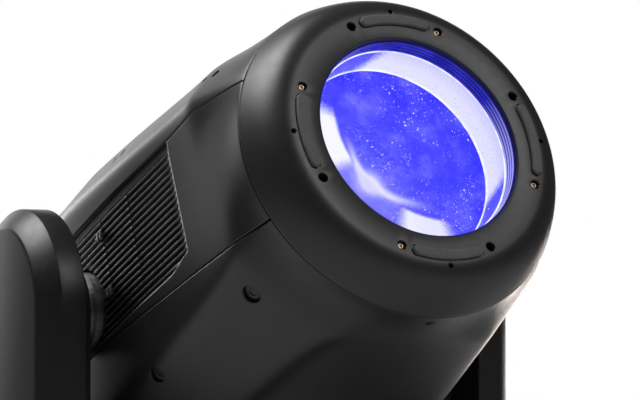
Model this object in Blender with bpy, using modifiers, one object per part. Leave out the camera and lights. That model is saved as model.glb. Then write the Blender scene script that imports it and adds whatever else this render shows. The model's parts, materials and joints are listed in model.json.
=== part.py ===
"""A large moving head stage light: base, panning yoke and tilting head.

The pan axis is the world Z axis. The origin is the centre of the base plate's underside.
The head is at rest 24 degrees above level, facing -Y. Lengths are in millimetres and are
turned into metres as each piece is made.
"""

import math

import bmesh
import bpy
from mathutils import Matrix

MM = 0.001
GAP = 0.3  # clearance left between two pieces that touch

# Yoke and head positions
TILT_Z = 525.0  # tilt axis above the base plate's underside
ELEVATION = 24.26  # head's rest angle above level
FRONT = 343.5  # tilt axis to the head's front face
REAR = 245.0  # tilt axis to the head's rear face
SEAM = 37.5  # depth of the front bezel
CAP_START = 535.0  # where the rear cap begins, behind the front face
SKIN = 3.0  # thickness of the head's covers
SIDE_SKIN = 7.0  # thickness of the louvred side panels

# Front of the head
PAD_RADIUS = 107.0
PAD_SPAN = 17.5  # half angle of one bumper pad
PAD_WIDTH = 8.6
LENS_OPENING = 89.5

# Louvres
RIBS = 17
RIB_PITCH = 5.9
RIB_LOWEST = -33.4
RIB_START = 156.0
RIB_END = 480.0

# Yoke
ARM_INNER = 168.0
ARM_SPLIT = 193.0
ARM_OUTER = 232.6
ARM_CHAMFER = 17.0
ARM_HALF_DEPTH = 90.0
FRAME_HALF_DEPTH = 44.0
BRIDGE_BOTTOM = 160.0
BRIDGE_TOP = 204.0
SHAFT_RADIUS = 30.0
HUB_RADIUS = 55.5

# Base
BASE_X = 182.0
BASE_Y = 170.0
BASE_SHOULDER = 118.0
BASE_TOP = 152.0
PLATE_TOP = 6.0
TRAY_RISE = 0.7  # the tray's underside clears the centre pad by this much
WALL = 4.0
FOOT_HEIGHT = 12.0

# Distance behind the front face, half width and corner radius of the head's section
STATIONS = (
    (37.5, 143.9, 144.2),
    (60.0, 144.1, 148.6),
    (85.0, 144.4, 154.4),
    (142.0, 145.4, 162.9),
    (190.0, 148.0, 169.6),
    (235.0, 150.9, 175.0),
    (290.0, 153.6, 180.6),
    (343.5, 155.2, 184.6),
    (430.0, 155.6, 186.6),
    (500.0, 154.4, 184.6),
    (545.0, 152.0, 180.0),
)
UPPER_SEAM = ((37.5, 26.9), (152.0, 25.9), (343.5, 24.8), (545.0, 24.8))
LOWER_SEAM = ((37.5, 24.3), (152.0, 19.9), (289.0, 15.8), (375.0, 14.9), (545.0, 14.7))


def clear_scene():
    for old in list(bpy.data.objects):
        bpy.data.objects.remove(old, do_unlink=True)
    for old in list(bpy.data.collections):
        bpy.data.collections.remove(old)


clear_scene()
PARTS = bpy.data.collections.new("moving_head_light")
CUTTERS = bpy.data.collections.new("cutters")
bpy.context.scene.collection.children.link(PARTS)
bpy.context.scene.collection.children.link(CUTTERS)


def material(name, colour, roughness, metallic=0.0):
    made = bpy.data.materials.new(name)
    made.use_nodes = True
    shader = made.node_tree.nodes["Principled BSDF"]
    shader.inputs["Base Color"].default_value = (*colour, 1.0)
    shader.inputs["Roughness"].default_value = roughness
    shader.inputs["Metallic"].default_value = metallic
    return made


CHARCOAL = material("charcoal_plastic", (0.040, 0.040, 0.043), 0.42)
BLACK = material("black_plastic", (0.012, 0.012, 0.013), 0.55)
RUBBER = material("grey_rubber", (0.120, 0.120, 0.125), 0.80)
STEEL = material("zinc_steel", (0.520, 0.520, 0.540), 0.32, 1.0)
ALUMINIUM = material("cast_aluminium", (0.360, 0.370, 0.380), 0.45, 1.0)
BLACK_METAL = material("black_painted_metal", (0.020, 0.020, 0.022), 0.48, 0.3)
GLASS = material("blue_lit_glass", (0.030, 0.030, 0.850), 0.06)
SCREEN = material("display_glass", (0.010, 0.012, 0.020), 0.10)
SCREEN_GREY = material("button_grey", (0.180, 0.180, 0.190), 0.50)


def pivot(name, place):
    made = bpy.data.objects.new(name, None)
    made.empty_display_size = 0.05
    PARTS.objects.link(made)
    made.matrix_world = place
    return made


def at(x=0.0, y=0.0, z=0.0):
    return Matrix.Translation((x * MM, y * MM, z * MM))


HEAD_PLACE = at(0, 0, TILT_Z) @ Matrix.Rotation(math.radians(90 - ELEVATION), 4, "X")
YOKE = pivot("pan_axis", at())
HEAD = pivot("tilt_axis", HEAD_PLACE)
ALONG_X = Matrix.Rotation(math.radians(90), 4, "Y")  # local +Z becomes +X
ALONG_Y = Matrix.Rotation(math.radians(-90), 4, "X")  # local +Z becomes +Y
YZ_PLANE = Matrix(((0, 0, 1, 0), (1, 0, 0, 0), (0, 1, 0, 0), (0, 0, 0, 1)))  # (y, z, x)
XZ_PLANE = Matrix(((1, 0, 0, 0), (0, 0, -1, 0), (0, 1, 0, 0), (0, 0, 0, 1)))  # (x, z, -y)


def piece(name, mesh, finish, owner=None, place=None):
    made = bpy.data.objects.new(name, mesh)
    PARTS.objects.link(made)
    if finish is not None:
        mesh.materials.append(finish)
    made.parent = owner
    made.matrix_local = place if place is not None else Matrix()
    return made


def mesh_from(name, bm):
    mesh = bpy.data.meshes.new(name)
    bmesh.ops.recalc_face_normals(bm, faces=bm.faces[:])
    bm.to_mesh(mesh)
    bm.free()
    return mesh


def block_mesh(name, low, high, chamfer=0.0, segments=1):
    bm = bmesh.new()
    size = [(b - a) * MM for a, b in zip(low, high)]
    middle = [(a + b) / 2 for a, b in zip(low, high)]
    bmesh.ops.create_cube(bm, size=1.0, matrix=at(*middle) @ Matrix.Diagonal((*size, 1)))
    if chamfer:
        bmesh.ops.bevel(
            bm,
            geom=bm.edges[:],
            offset=chamfer * MM,
            segments=segments,
            profile=0.5,
            affect="EDGES",
        )
    return mesh_from(name, bm)


def block(name, low, high, finish, owner=None, chamfer=0.0, segments=1, place=None):
    return piece(name, block_mesh(name, low, high, chamfer, segments), finish, owner, place)


def drum_mesh(name, radius, low, high, sides, place):
    """A cylinder from low to high along the place's local Z."""
    bm = bmesh.new()
    bmesh.ops.create_cone(
        bm,
        cap_ends=True,
        segments=sides,
        radius1=radius * MM,
        radius2=radius * MM,
        depth=(high - low) * MM,
        matrix=place @ at(0, 0, (low + high) / 2),
    )
    return mesh_from(name, bm)


def drum(name, radius, low, high, finish, owner=None, sides=32, place=None, local=None):
    mesh = drum_mesh(name, radius, low, high, sides, local or Matrix())
    return piece(name, mesh, finish, owner, place)


def turned(name, profile, finish, owner=None, steps=48, place=None, closed=True):
    """A profile of (radius, height) turned about local Z. It runs from top to bottom outside."""
    if closed:
        area = 0.0
        for (r0, z0), (r1, z1) in zip(profile, profile[1:] + profile[:1]):
            area += r0 * z1 - r1 * z0
        if area > 0:
            profile = profile[::-1]
    mesh = bpy.data.meshes.new(name)
    count = len(profile)
    ends = count if closed else count - 1
    edges = [(i, (i + 1) % count) for i in range(ends)]
    mesh.from_pydata([(r * MM, 0, z * MM) for r, z in profile], edges, [])
    made = piece(name, mesh, finish, owner, place)
    screw = made.modifiers.new("turn", "SCREW")
    screw.angle = math.tau
    screw.steps = steps
    screw.render_steps = steps
    screw.use_merge_vertices = True
    screw.merge_threshold = 0.00001
    screw.use_smooth_shade = False
    return made


def plate_mesh(name, loops, low, high, place):
    """A flat outline, with any holes, given thickness from low to high along the place's Z."""
    curve = bpy.data.curves.new(name, "CURVE")
    curve.dimensions = "2D"
    curve.fill_mode = "BOTH"
    curve.extrude = (high - low) / 2 * MM
    for loop in loops:
        spline = curve.splines.new("POLY")
        spline.points.add(len(loop) - 1)
        for point, (x, y) in zip(spline.points, loop):
            point.co = (x * MM, y * MM, 0, 1)
        spline.use_cyclic_u = True
    guide = bpy.data.objects.new(name + "_outline", curve)
    mesh = bpy.data.meshes.new_from_object(guide)
    bpy.data.objects.remove(guide, do_unlink=True)
    bm = bmesh.new()
    bm.from_mesh(mesh)
    bpy.data.meshes.remove(mesh)
    bmesh.ops.remove_doubles(bm, verts=bm.verts[:], dist=0.000001)
    bmesh.ops.transform(bm, matrix=place @ at(0, 0, (low + high) / 2), verts=bm.verts[:])
    return mesh_from(name, bm)


def plate(name, loops, low, high, finish, owner=None, place=None, local=None):
    mesh = plate_mesh(name, loops, low, high, local or Matrix())
    mesh.materials.clear()
    return piece(name, mesh, finish, owner, place)


def bar(name, path, radius, finish, owner=None):
    """A round bar along a path."""
    curve = bpy.data.curves.new(name, "CURVE")
    curve.dimensions = "3D"
    curve.bevel_depth = radius * MM
    curve.bevel_resolution = 1
    curve.use_fill_caps = True
    spline = curve.splines.new("POLY")
    spline.points.add(len(path) - 1)
    for point, (x, y, z) in zip(spline.points, path):
        point.co = (x * MM, y * MM, z * MM, 1)
    made = bpy.data.objects.new(name, curve)
    PARTS.objects.link(made)
    curve.materials.append(finish)
    made.parent = owner
    return made


def helper(name, mesh, owner, place=None):
    made = bpy.data.objects.new(name, mesh)
    CUTTERS.objects.link(made)
    made.hide_render = True
    made.display_type = "WIRE"
    made.parent = owner
    made.matrix_local = place if place is not None else Matrix()
    return made


def combine(target, mesh, operation, place=None):
    tool = helper(f"{target.name}_{operation.lower()}_{len(target.modifiers)}", mesh, target.parent)
    tool.matrix_local = place if place is not None else Matrix()
    step = target.modifiers.new(operation.lower(), "BOOLEAN")
    step.operation = operation
    step.solver = "EXACT"
    step.object = tool


def cut(target, mesh, place=None):
    combine(target, mesh, "DIFFERENCE", place)


def join(target, mesh, place=None):
    combine(target, mesh, "UNION", place)


def circle(radius, count, cx=0.0, cy=0.0, start=0.0):
    step = math.tau / count
    return [
        (cx + radius * math.cos(start + i * step), cy + radius * math.sin(start + i * step))
        for i in range(count)
    ]


def rounded(x0, y0, x1, y1, radius, count=3):
    """A rectangle's outline with rounded corners."""
    corners = ((x1 - radius, y1 - radius), (x0 + radius, y1 - radius))
    corners += ((x0 + radius, y0 + radius), (x1 - radius, y0 + radius))
    points = []
    for quarter, (cx, cy) in enumerate(corners):
        for i in range(count + 1):
            angle = math.radians(90 * (quarter + i / count))
            points.append((cx + radius * math.cos(angle), cy + radius * math.sin(angle)))
    return points


def between(table, at_value):
    """Straight-line reading of a table of (position, value)."""
    if at_value <= table[0][0]:
        return table[0][1]
    for (p0, v0), (p1, v1) in zip(table, table[1:]):
        if at_value <= p1:
            return v0 + (v1 - v0) * (at_value - p0) / (p1 - p0)
    return table[-1][1]


# ---------------------------------------------------------------- the head's outer form


def half_width(s):
    return between([(p, a) for p, a, _ in STATIONS], s)


def corner(s):
    return between([(p, c) for p, _, c in STATIONS], s)


def skin_radius(angle, s):
    """Distance from the optical axis to the skin: a circle at the bezel, a cut-corner square behind."""
    a = half_width(s)
    c = corner(s) * math.sqrt(2)
    cosine = abs(math.cos(math.radians(angle)))
    sine = abs(math.sin(math.radians(angle)))
    power = 60
    total = (cosine / a) ** power + (sine / a) ** power + ((cosine + sine) / c) ** power
    square = total ** (-1 / power)
    t = min(max((s - SEAM) / 48.0, 0.0), 1.0)
    blend = t * t * (3 - 2 * t)
    return (1 - blend) * STATIONS[0][2] + blend * square


def crease(s):
    """Angle of the edge between the head's side and its cut corner."""
    a = half_width(s)
    return math.degrees(math.atan2(corner(s) * math.sqrt(2) - a, a))


def skin_point(angle, s, inward=0.0):
    r = skin_radius(angle, s) - inward
    return (r * math.cos(math.radians(angle)), r * math.sin(math.radians(angle)), FRONT - s)


def quarter_rows(edge, s):
    """Angles from a seam up to the middle of the top, with some at each crease."""
    fold = max(crease(s), edge + 4)
    rows = [edge, fold - 2.5, fold, fold + 2.5, (fold + 47.5) / 2, 45]
    rows += [90 - (fold + 47.5) / 2, 90 - fold - 2.5, 90 - fold, 90 - fold + 2.5, 90]
    return rows


def sheet(name, stations, outer_rows, inner_rows, finish):
    """A closed sheet of skin. Each row is a function of s that gives an angle and a depth."""
    bm = bmesh.new()
    grids = []
    for rows in (outer_rows, inner_rows):
        grid = []
        for s in stations:
            ring = []
            for row in rows(s):
                x, y, z = skin_point(row[0], s, row[1])
                ring.append(bm.verts.new((x * MM, y * MM, z * MM)))
            grid.append(ring)
        grids.append(grid)
    outer, inner = grids
    for grid in grids:
        for near, far in zip(grid, grid[1:]):
            for i in range(len(near) - 1):
                bm.faces.new((near[i], near[i + 1], far[i + 1], far[i]))
    for j in range(len(stations) - 1):
        for end in (0, -1):
            bm.faces.new((outer[j][end], outer[j + 1][end], inner[j + 1][end], inner[j][end]))
    for j in (0, -1):
        bm.faces.new(outer[j] + inner[j][::-1])
    return piece(name, mesh_from(name, bm), finish, HEAD)


SHEET_STATIONS = (38.0, 50.0, 64.0, 85.0, 142.0, 190.0, 235.0, 290.0, 343.5, 430.0, 490.0, 534.4)
SEAM_GAP = 0.16  # half the seam's width, as an angle


def upper_rows(depth):
    def rows(s):
        half = quarter_rows(between(UPPER_SEAM, s) + SEAM_GAP, s)
        full = half + [180 - angle for angle in half[-2::-1]]
        return [(angle, depth) for angle in full]

    return rows


def lower_rows(depth):
    def rows(s):
        half = quarter_rows(between(LOWER_SEAM, s) + SEAM_GAP, s)
        full = half + [180 - angle for angle in half[-2::-1]]
        return [(-angle, depth) for angle in full]

    return rows


def side_rows(s):
    """Rows of the louvred panel: the lower lip, then each rib's foot and crest."""
    a = half_width(s)
    louvred = RIB_START - 4 < s < RIB_END + 1
    low = -between(LOWER_SEAM, s) + SEAM_GAP
    high = between(UPPER_SEAM, s) - SEAM_GAP
    lip = RIB_LOWEST - 5.5 if s < 200 else RIB_LOWEST - 4.2
    deep = 4.6 if louvred else 0.0
    shallow = 1.2 if louvred else 0.0
    rows = [(low, 0.0)]
    rows.append((math.degrees(math.atan2(lip, a)), 0.0))
    rows.append((math.degrees(math.atan2(lip + 0.6, a)), deep))
    for k in range(RIBS):
        middle = RIB_LOWEST + k * RIB_PITCH
        for offset, depth in ((-RIB_PITCH / 2, deep), (0.0, shallow)):
            rows.append((math.degrees(math.atan2(middle + offset, a)), depth))
    rows.append((high, deep))
    return rows


def side_inner_rows(s):
    low = -between(LOWER_SEAM, s) + SEAM_GAP
    high = between(UPPER_SEAM, s) - SEAM_GAP
    return [(low + (high - low) * i / 6, SIDE_SKIN) for i in range(7)]


def mirrored(rows):
    def other(s):
        return [(180 - angle, depth) for angle, depth in rows(s)]

    return other


SIDE_STATIONS = (38.0, 60.0, 85.0, 151.9, 152.6, 200.0, 270.0, 343.5, 430.0, 480.5, 481.2, 534.4)

front_profile = [(LENS_OPENING, FRONT - 2), (91, FRONT), (114, FRONT), (119.5, FRONT - 1)]
front_profile += [(124.6, FRONT - 3.4), (129.5, FRONT - 7.2), (134.6, FRONT - 16)]
front_profile += [(140.4, FRONT - 27), (144.2, FRONT - 37.2), (140.2, FRONT - 37.2)]
front_profile += [(130.6, FRONT - 16.5), (120, FRONT - 6), (LENS_OPENING, FRONT - 6)]
bezel = turned("front_bezel", front_profile, CHARCOAL, HEAD, steps=48)
for index in range(4):
    quarter = 90 * index
    for offset, radius, depth in ((22.5, 3.9, 9.0), (-22.5, 3.9, 4.0)):
        angle = math.radians(quarter + offset)
        x, y = PAD_RADIUS * math.cos(angle), PAD_RADIUS * math.sin(angle)
        hole = drum_mesh("hole", radius, FRONT - depth, FRONT + 2, 8, at(x, y, 0))
        cut(bezel, hole)
    angle = math.radians(quarter)
    x, y = 116 * math.cos(angle), 116 * math.sin(angle)
    cut(bezel, drum_mesh("hole", 2.0, FRONT - 4, FRONT + 2, 6, at(x, y, 0)))


def pad_outline(middle):
    inner, outer = PAD_RADIUS - PAD_WIDTH / 2, PAD_RADIUS + PAD_WIDTH / 2
    reach = PAD_SPAN - math.degrees(PAD_WIDTH / 2 / PAD_RADIUS)
    points = []
    for i in range(7):
        angle = math.radians(middle - reach + 2 * reach * i / 6)
        points.append((outer * math.cos(angle), outer * math.sin(angle)))
    for i in range(1, 4):
        points.append(pad_end(middle + reach, 90 * (i / 2 - 1) + middle + reach + 90))
    for i in range(7):
        angle = math.radians(middle + reach - 2 * reach * i / 6)
        points.append((inner * math.cos(angle), inner * math.sin(angle)))
    for i in range(1, 4):
        points.append(pad_end(middle - reach, 90 * (i / 2 - 1) + middle - reach - 90))
    return points


def pad_end(middle, direction):
    turn = math.radians(middle)
    way = math.radians(direction)
    x = PAD_RADIUS * math.cos(turn) + PAD_WIDTH / 2 * math.cos(way)
    y = PAD_RADIUS * math.sin(turn) + PAD_WIDTH / 2 * math.sin(way)
    return (x, y)


for label, middle in (("right", 0), ("top", 90), ("left", 180), ("bottom", 270)):
    low, high = FRONT + GAP, FRONT + 3.4
    plate(f"bumper_{label}", [pad_outline(middle)], low, high, RUBBER, HEAD)

ring_profile = [(89.0, FRONT - 2.6), (89.0, FRONT - 6.4), (112, FRONT - 6.4), (112, FRONT - 10)]
ring_profile += [(88, FRONT - 12), (88, FRONT - 76), (84, FRONT - 76), (84, FRONT - 42.6)]
ring_profile += [(81.5, FRONT - 42.6), (81.5, FRONT - 24), (84, FRONT - 20), (84, FRONT - 14)]
ring_profile += [(86.5, FRONT - 10), (87.4, FRONT - 2.6)]
turned("lens_ring", ring_profile, BLACK, HEAD, steps=40)
lens_profile = [(0, FRONT - 18.5), (40, FRONT - 20.7), (68, FRONT - 25), (81, FRONT - 29)]
lens_profile += [(81, FRONT - 42), (0, FRONT - 42)]
turned("front_lens", lens_profile, GLASS, HEAD, steps=36, closed=False)

sheet("upper_cover", SHEET_STATIONS, upper_rows(0.0), upper_rows(SKIN), CHARCOAL)
sheet("lower_cover", SHEET_STATIONS, lower_rows(0.0), lower_rows(SKIN), CHARCOAL)
for label, outer_rows, inner_rows in (
    ("right", side_rows, side_inner_rows),
    ("left", mirrored(side_rows), mirrored(side_inner_rows)),
):
    panel = sheet(f"side_panel_{label}", SIDE_STATIONS, outer_rows, inner_rows, CHARCOAL)
    side = 1 if label == "right" else -1
    cut(panel, drum_mesh("trunnion_hole", 38.5, side * 155 - 20, side * 155 + 20, 40, ALONG_X))


def cap_ring(s, inward, scale):
    rows = []
    for quarter in range(4):
        half = quarter_rows(24.8, min(s, 545.0))
        angles = [0, 12] + half[:-1]
        for angle in angles:
            x, y, z = skin_point(angle, min(s, 545.0), inward)
            turn = math.radians(90 * quarter)
            px = (x * math.cos(turn) - y * math.sin(turn)) * scale
            py = (x * math.sin(turn) + y * math.cos(turn)) * scale
            rows.append((px, py, FRONT - s))
    return rows


def loft(name, rings, finish, owner=None):
    """A closed body through rings of points, with a flat cap on the first and the last."""
    return piece(name, loft_mesh(name, rings), finish, owner)


def loft_mesh(name, rings):
    bm = bmesh.new()
    made = [[bm.verts.new([v * MM for v in point]) for point in ring] for ring in rings]
    for near, far in zip(made, made[1:]):
        for i in range(len(near)):
            j = (i + 1) % len(near)
            bm.faces.new((near[i], near[j], far[j], far[i]))
    bm.faces.new(made[0])
    bm.faces.new(made[-1])
    return mesh_from(name, bm)


REAR_S = FRONT + REAR
outer_rings = [cap_ring(CAP_START, 0, 1.0), cap_ring(560, 0, 0.992)]
outer_rings += [cap_ring(575, 0, 0.965), cap_ring(584, 0, 0.925), cap_ring(REAR_S, 0, 0.87)]
inner_rings = [cap_ring(CAP_START - 5, 4, 1.0), cap_ring(560, 4, 0.99)]
inner_rings += [cap_ring(575, 4, 0.955), cap_ring(REAR_S - 5, 4, 0.88)]
cap = loft("rear_cap", outer_rings, BLACK, HEAD)
cut(cap, loft_mesh("cap_inside", inner_rings))
for x in (-56, 56):
    cut(cap, drum_mesh("vent", 43, FRONT - REAR_S - 5, FRONT - REAR_S + 12, 32, at(x, 0, 0)))


def rotor(name, x, y, z, thickness, hub, tip, blades, finish, owner, place):
    """A fan rotor: a hub with swept blades, about local Z."""
    points = []
    for k in range(blades):
        start = math.tau * k / blades
        points.append((hub * math.cos(start), hub * math.sin(start)))
        for radius, turn in ((0.5 * (hub + tip), 0.10), (tip, 0.26), (tip, 0.74)):
            angle = start + turn * math.tau / blades
            points.append((radius * math.cos(angle), radius * math.sin(angle)))
        angle = start + 0.62 * math.tau / blades
        points.append((hub * math.cos(angle), hub * math.sin(angle)))
    where = place @ at(x, y, z)
    return plate(name, [points], -thickness / 2, thickness / 2, finish, owner, where)


for label, x in (("left", -56), ("right", 56)):
    rotor(f"head_fan_{label}", x, 0, -222, 12, 14, 39, 7, BLACK, HEAD, Matrix())

# Inside the head: the chassis that carries the trunnions, then the optics along the axis
chassis = block("head_chassis", (124, -72, -60), (128, 72, 232), ALUMINIUM, HEAD)
join(chassis, block_mesh("plate", (-128, -72, -60), (-124, 72, 232)))
join(chassis, plate_mesh("rear", [rounded(-126, -70, 126, 70, 6)], -60, -56, Matrix()))
for low, high in ((226, 230), (60, 63)):
    outline = [rounded(-126, -84, 126, 84, 20), circle(78 if high > 200 else 50, 32)]
    join(chassis, plate_mesh("bulkhead", outline, low, high, Matrix()))
join(chassis, drum_mesh("boss", 36, 126, 159, 32, ALONG_X))
join(chassis, drum_mesh("boss", 36, -159, -126, 32, ALONG_X))
join(chassis, drum_mesh("shaft", SHAFT_RADIUS, 150, 214, 32, ALONG_X))
join(chassis, drum_mesh("shaft", SHAFT_RADIUS, -190, -150, 32, ALONG_X))

fins = [(-88.0, 0.0), (88.0, 0.0), (88.0, 106.0)]
for k in range(14):
    left = 84 - 12.6 * k
    fins += [(left, 106.0), (left, 9.0), (left - 8.2, 9.0), (left - 8.2, 106.0)]
fins = fins[:-1] + [(-88.0, 106.0)]
engine_place = Matrix(((1, 0, 0, 0), (0, 0, 1, 0), (0, -1, 0, 0), (0, 0, 0, 1)))
plate("led_heatsink", [fins], -80, 80, ALUMINIUM, HEAD, at(0, 0, -62) @ engine_place)
turned(
    "led_engine",
    [(52, -20), (52, -55.6), (34, -55.6), (34, -26), (30, -20)],
    BLACK_METAL,
    HEAD,
    steps=24,
)
for label, y, z in (("colour_wheel", -55, 20), ("gobo_wheel", 55, 38)):
    turns = [math.tau * k / 7 + (math.pi / 2 if y < 0 else -math.pi / 2) for k in range(7)]
    holes = [circle(20, 10, 55 * math.cos(turn), 55 * math.sin(turn)) for turn in turns]
    outline = [circle(80, 32), circle(5, 8)] + holes
    plate(label, outline, -1, 1, STEEL, HEAD, at(0, y, z))
for label, z, radius in (("zoom_carriage", 105, 56), ("focus_carriage", 170, 64)):
    outline = [rounded(-116, -78, 116, 78, 12), circle(radius, 24)]
    plate(label, outline, -2.5, 2.5, BLACK_METAL, HEAD, at(0, 0, z))
turned(
    "tilt_pulley",
    [(30.3, 212), (48, 212), (48, 210), (45, 210), (45, 199), (48, 199), (48, 197), (30.3, 197)],
    ALUMINIUM,
    HEAD,
    steps=24,
    place=ALONG_X,
)

# ---------------------------------------------------------------- yoke


def stadium(radius, bottom, count=20):
    """An arm's outline in (y, z): a half circle about the tilt axis, straight down to the bottom."""
    points = [(-radius, bottom), (radius, bottom)]
    for i in range(count + 1):
        angle = math.pi * i / count
        points.append((radius * math.cos(angle), TILT_Z + radius * math.sin(angle)))
    return points


def frame_outline():
    """An arm frame's outline in (y, z): a narrow post on a foot as deep as the bridge."""
    post = stadium(FRAME_HALF_DEPTH, 216)
    return [(-80, 162), (80, 162), (80, 200)] + post[1:] + post[:1] + [(-80, 200)]


def in_x(outline, x):
    return [(x, y, z) for y, z in outline]


bridge = block("yoke_bridge", (-167.7, -80, BRIDGE_BOTTOM), (167.7, 80, BRIDGE_TOP), CHARCOAL, YOKE,
               chamfer=7, segments=2)
join(bridge, drum_mesh("hub", HUB_RADIUS, 122, 170, 40, Matrix()))
cut(bridge, block_mesh("motor_bay", (62, -34, 150), (128, 34, 199)))
cut(bridge, drum_mesh("cable_way", 34, 100, 150, 20, Matrix()))
for label, side in (("left", -1), ("right", 1)):
    outline = [frame_outline(), circle(30.7, 32, 0, TILT_Z)]
    near, far = sorted((side * ARM_INNER, side * (ARM_SPLIT - GAP)))
    frame = plate(f"arm_frame_{label}", outline, near, far, BLACK, YOKE, local=YZ_PLANE)
    if side > 0:
        cut(frame, block_mesh("motor_bay", (172, -31, 249), (200, 31, 311)))
    full, small = stadium(ARM_HALF_DEPTH, 160), stadium(ARM_HALF_DEPTH - ARM_CHAMFER, 160 + ARM_CHAMFER)
    rings = [in_x(full, side * ARM_SPLIT), in_x(full, side * (ARM_OUTER - ARM_CHAMFER))]
    rings.append(in_x(small, side * ARM_OUTER))
    cover = loft(f"arm_cover_{label}", rings, CHARCOAL, YOKE)
    inside = [in_x(stadium(ARM_HALF_DEPTH - 3, 163), side * (ARM_SPLIT + 3))]
    inside.append(in_x(stadium(ARM_HALF_DEPTH - 3, 163), side * (ARM_OUTER - ARM_CHAMFER - 1.2)))
    inside.append(in_x(stadium(ARM_HALF_DEPTH - 19, 179), side * (ARM_OUTER - 3)))
    cut(cover, loft_mesh("cover_inside", inside))
    window = [in_x(stadium(FRAME_HALF_DEPTH - 6, 222), side * x) for x in (ARM_SPLIT - 5, ARM_SPLIT + 8)]
    cut(cover, loft_mesh("cover_window", window))

motor = block("tilt_motor", (172.6, -28, 252), (191, 28, 308), BLACK_METAL, YOKE, chamfer=2)
join(motor, drum_mesh("shaft", 4, 185, 196.6, 12, at(0, 0, 280) @ ALONG_X))
SMALL_PULLEY = at(0, 0, 280) @ ALONG_X
turned(
    "tilt_motor_pulley",
    [(0, 212), (15, 212), (15, 210), (12, 210), (12, 199), (15, 199), (15, 197), (0, 197)],
    ALUMINIUM,
    YOKE,
    steps=24,
    place=SMALL_PULLEY,
    closed=False,
)


def belt_loop(big, small, count=16):
    """The path of a belt round the tilt pulley and the motor pulley, in (y, z)."""
    span = TILT_Z - 280
    lean = math.asin((big - small) / span)
    points = []
    for i in range(count + 1):
        angle = -lean + (math.pi + 2 * lean) * i / count
        points.append((big * math.cos(angle), TILT_Z + big * math.sin(angle)))
    for i in range(9):
        angle = math.pi + lean + (math.pi - 2 * lean) * i / 8
        points.append((small * math.cos(angle), 280 + small * math.sin(angle)))
    return points


belt = [belt_loop(47.0, 14.0), belt_loop(45.6, 12.6)]
plate("tilt_belt", belt, 200.5, 208.5, RUBBER, YOKE, local=YZ_PLANE)

pan_motor = block("pan_motor", (67, -28, 163), (123, 28, 197), BLACK_METAL, YOKE, chamfer=2)
join(pan_motor, drum_mesh("shaft", 4, 159.2, 170, 12, at(95, 0, 0)))
drum("pan_pinion", 10, -2.6, 2.6, STEEL, YOKE, sides=20, place=at(95, 0, 155.9))
turned(
    "pan_ring_gear",
    [(60, 158.2), (84.3, 158.2), (84.3, BASE_TOP + GAP), (60, BASE_TOP + GAP)],
    STEEL,
    steps=40,
)
turned("pan_bearing", [(56.4, 147.6), (88, 147.6), (88, 124), (56.4, 124)], STEEL, steps=32)
block("pan_lock", (-7, -5, -30), (7, 0, 6), STEEL, YOKE, chamfer=1.5,
      place=at(-120, -80 - GAP, 186) @ Matrix.Rotation(math.radians(90), 4, "Y"))
block("tilt_lock", (-4.5, -8, -12), (0, 8, 12), STEEL, YOKE, chamfer=1.5,
      place=at(-ARM_OUTER - GAP, 0, 430))

# ---------------------------------------------------------------- base


def base_ring(x, y, cut_corner, z):
    points = [(x, -y + cut_corner), (x, y - cut_corner), (x - cut_corner, y)]
    points += [(-x + cut_corner, y), (-x, y - cut_corner), (-x, -y + cut_corner)]
    points += [(-x + cut_corner, -y), (x - cut_corner, -y)]
    return [(px, py, z) for px, py in points]


plate_outline = [(x, y) for x, y, _ in base_ring(BASE_X, BASE_Y, 26, 0)]
tray = plate("base_plate", [plate_outline], TRAY_RISE, PLATE_TOP, BLACK_METAL)
join(tray, drum_mesh("centre_pad", 45, 0, 3, 40, Matrix()))
shell_rings = [base_ring(BASE_X, BASE_Y, 26, PLATE_TOP + GAP)]
shell_rings.append(base_ring(BASE_X, BASE_Y, 26, BASE_SHOULDER))
shell_rings.append(base_ring(BASE_X - 22, BASE_Y - 22, 22, BASE_TOP))
shell = loft("base_cover", shell_rings, CHARCOAL)
room = [base_ring(BASE_X - WALL, BASE_Y - WALL, 25, PLATE_TOP - 4)]
room.append(base_ring(BASE_X - WALL, BASE_Y - WALL, 25, BASE_SHOULDER - 1.5))
room.append(base_ring(BASE_X - 24.5, BASE_Y - 24.5, 21, BASE_TOP - WALL))
cut(shell, loft_mesh("base_room", room))
cut(shell, drum_mesh("hub_hole", 58, 140, 160, 40, Matrix()))
cut(shell, drum_mesh("fan_vent", 30, 170, 190, 32, at(0, 0, 62) @ ALONG_X))
cut(shell, block_mesh("socket_bay", (-100, 160, 30), (100, 175, 90)))

for x_label, x in (("left", -148), ("right", 148)):
    for y_label, y in (("front", -132), ("rear", 132)):
        foot = [(0, TRAY_RISE - GAP), (20, TRAY_RISE - GAP), (20, -8), (17.5, -FOOT_HEIGHT), (0, -FOOT_HEIGHT)]
        turned(f"foot_{y_label}_{x_label}", foot, RUBBER, steps=16, place=at(x, y, 0), closed=False)
for label, x in (("left", -85), ("right", 85)):
    outline = [rounded(x - 20, -70, x + 20, 70, 8)]
    outline += [circle(8, 10, x, -48), circle(8, 10, x, 48)]
    plate(f"quick_lock_{label}", outline, -3.3, TRAY_RISE - GAP, STEEL)

for label, side in (("left", -1), ("right", 1)):
    path = [(side * (BASE_X + GAP), -66, 84)]
    for i in range(5):
        angle = math.radians(90 * i / 4)
        path.append((side * (208 + 14 * math.sin(angle)), -52 - 14 * math.cos(angle), 84))
    for i in range(5):
        angle = math.radians(90 * i / 4)
        path.append((side * (208 + 14 * math.cos(angle)), 52 + 14 * math.sin(angle), 84))
    path.append((side * (BASE_X + GAP), 66, 84))
    bar(f"handle_{label}", path, 8, BLACK)

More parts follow.
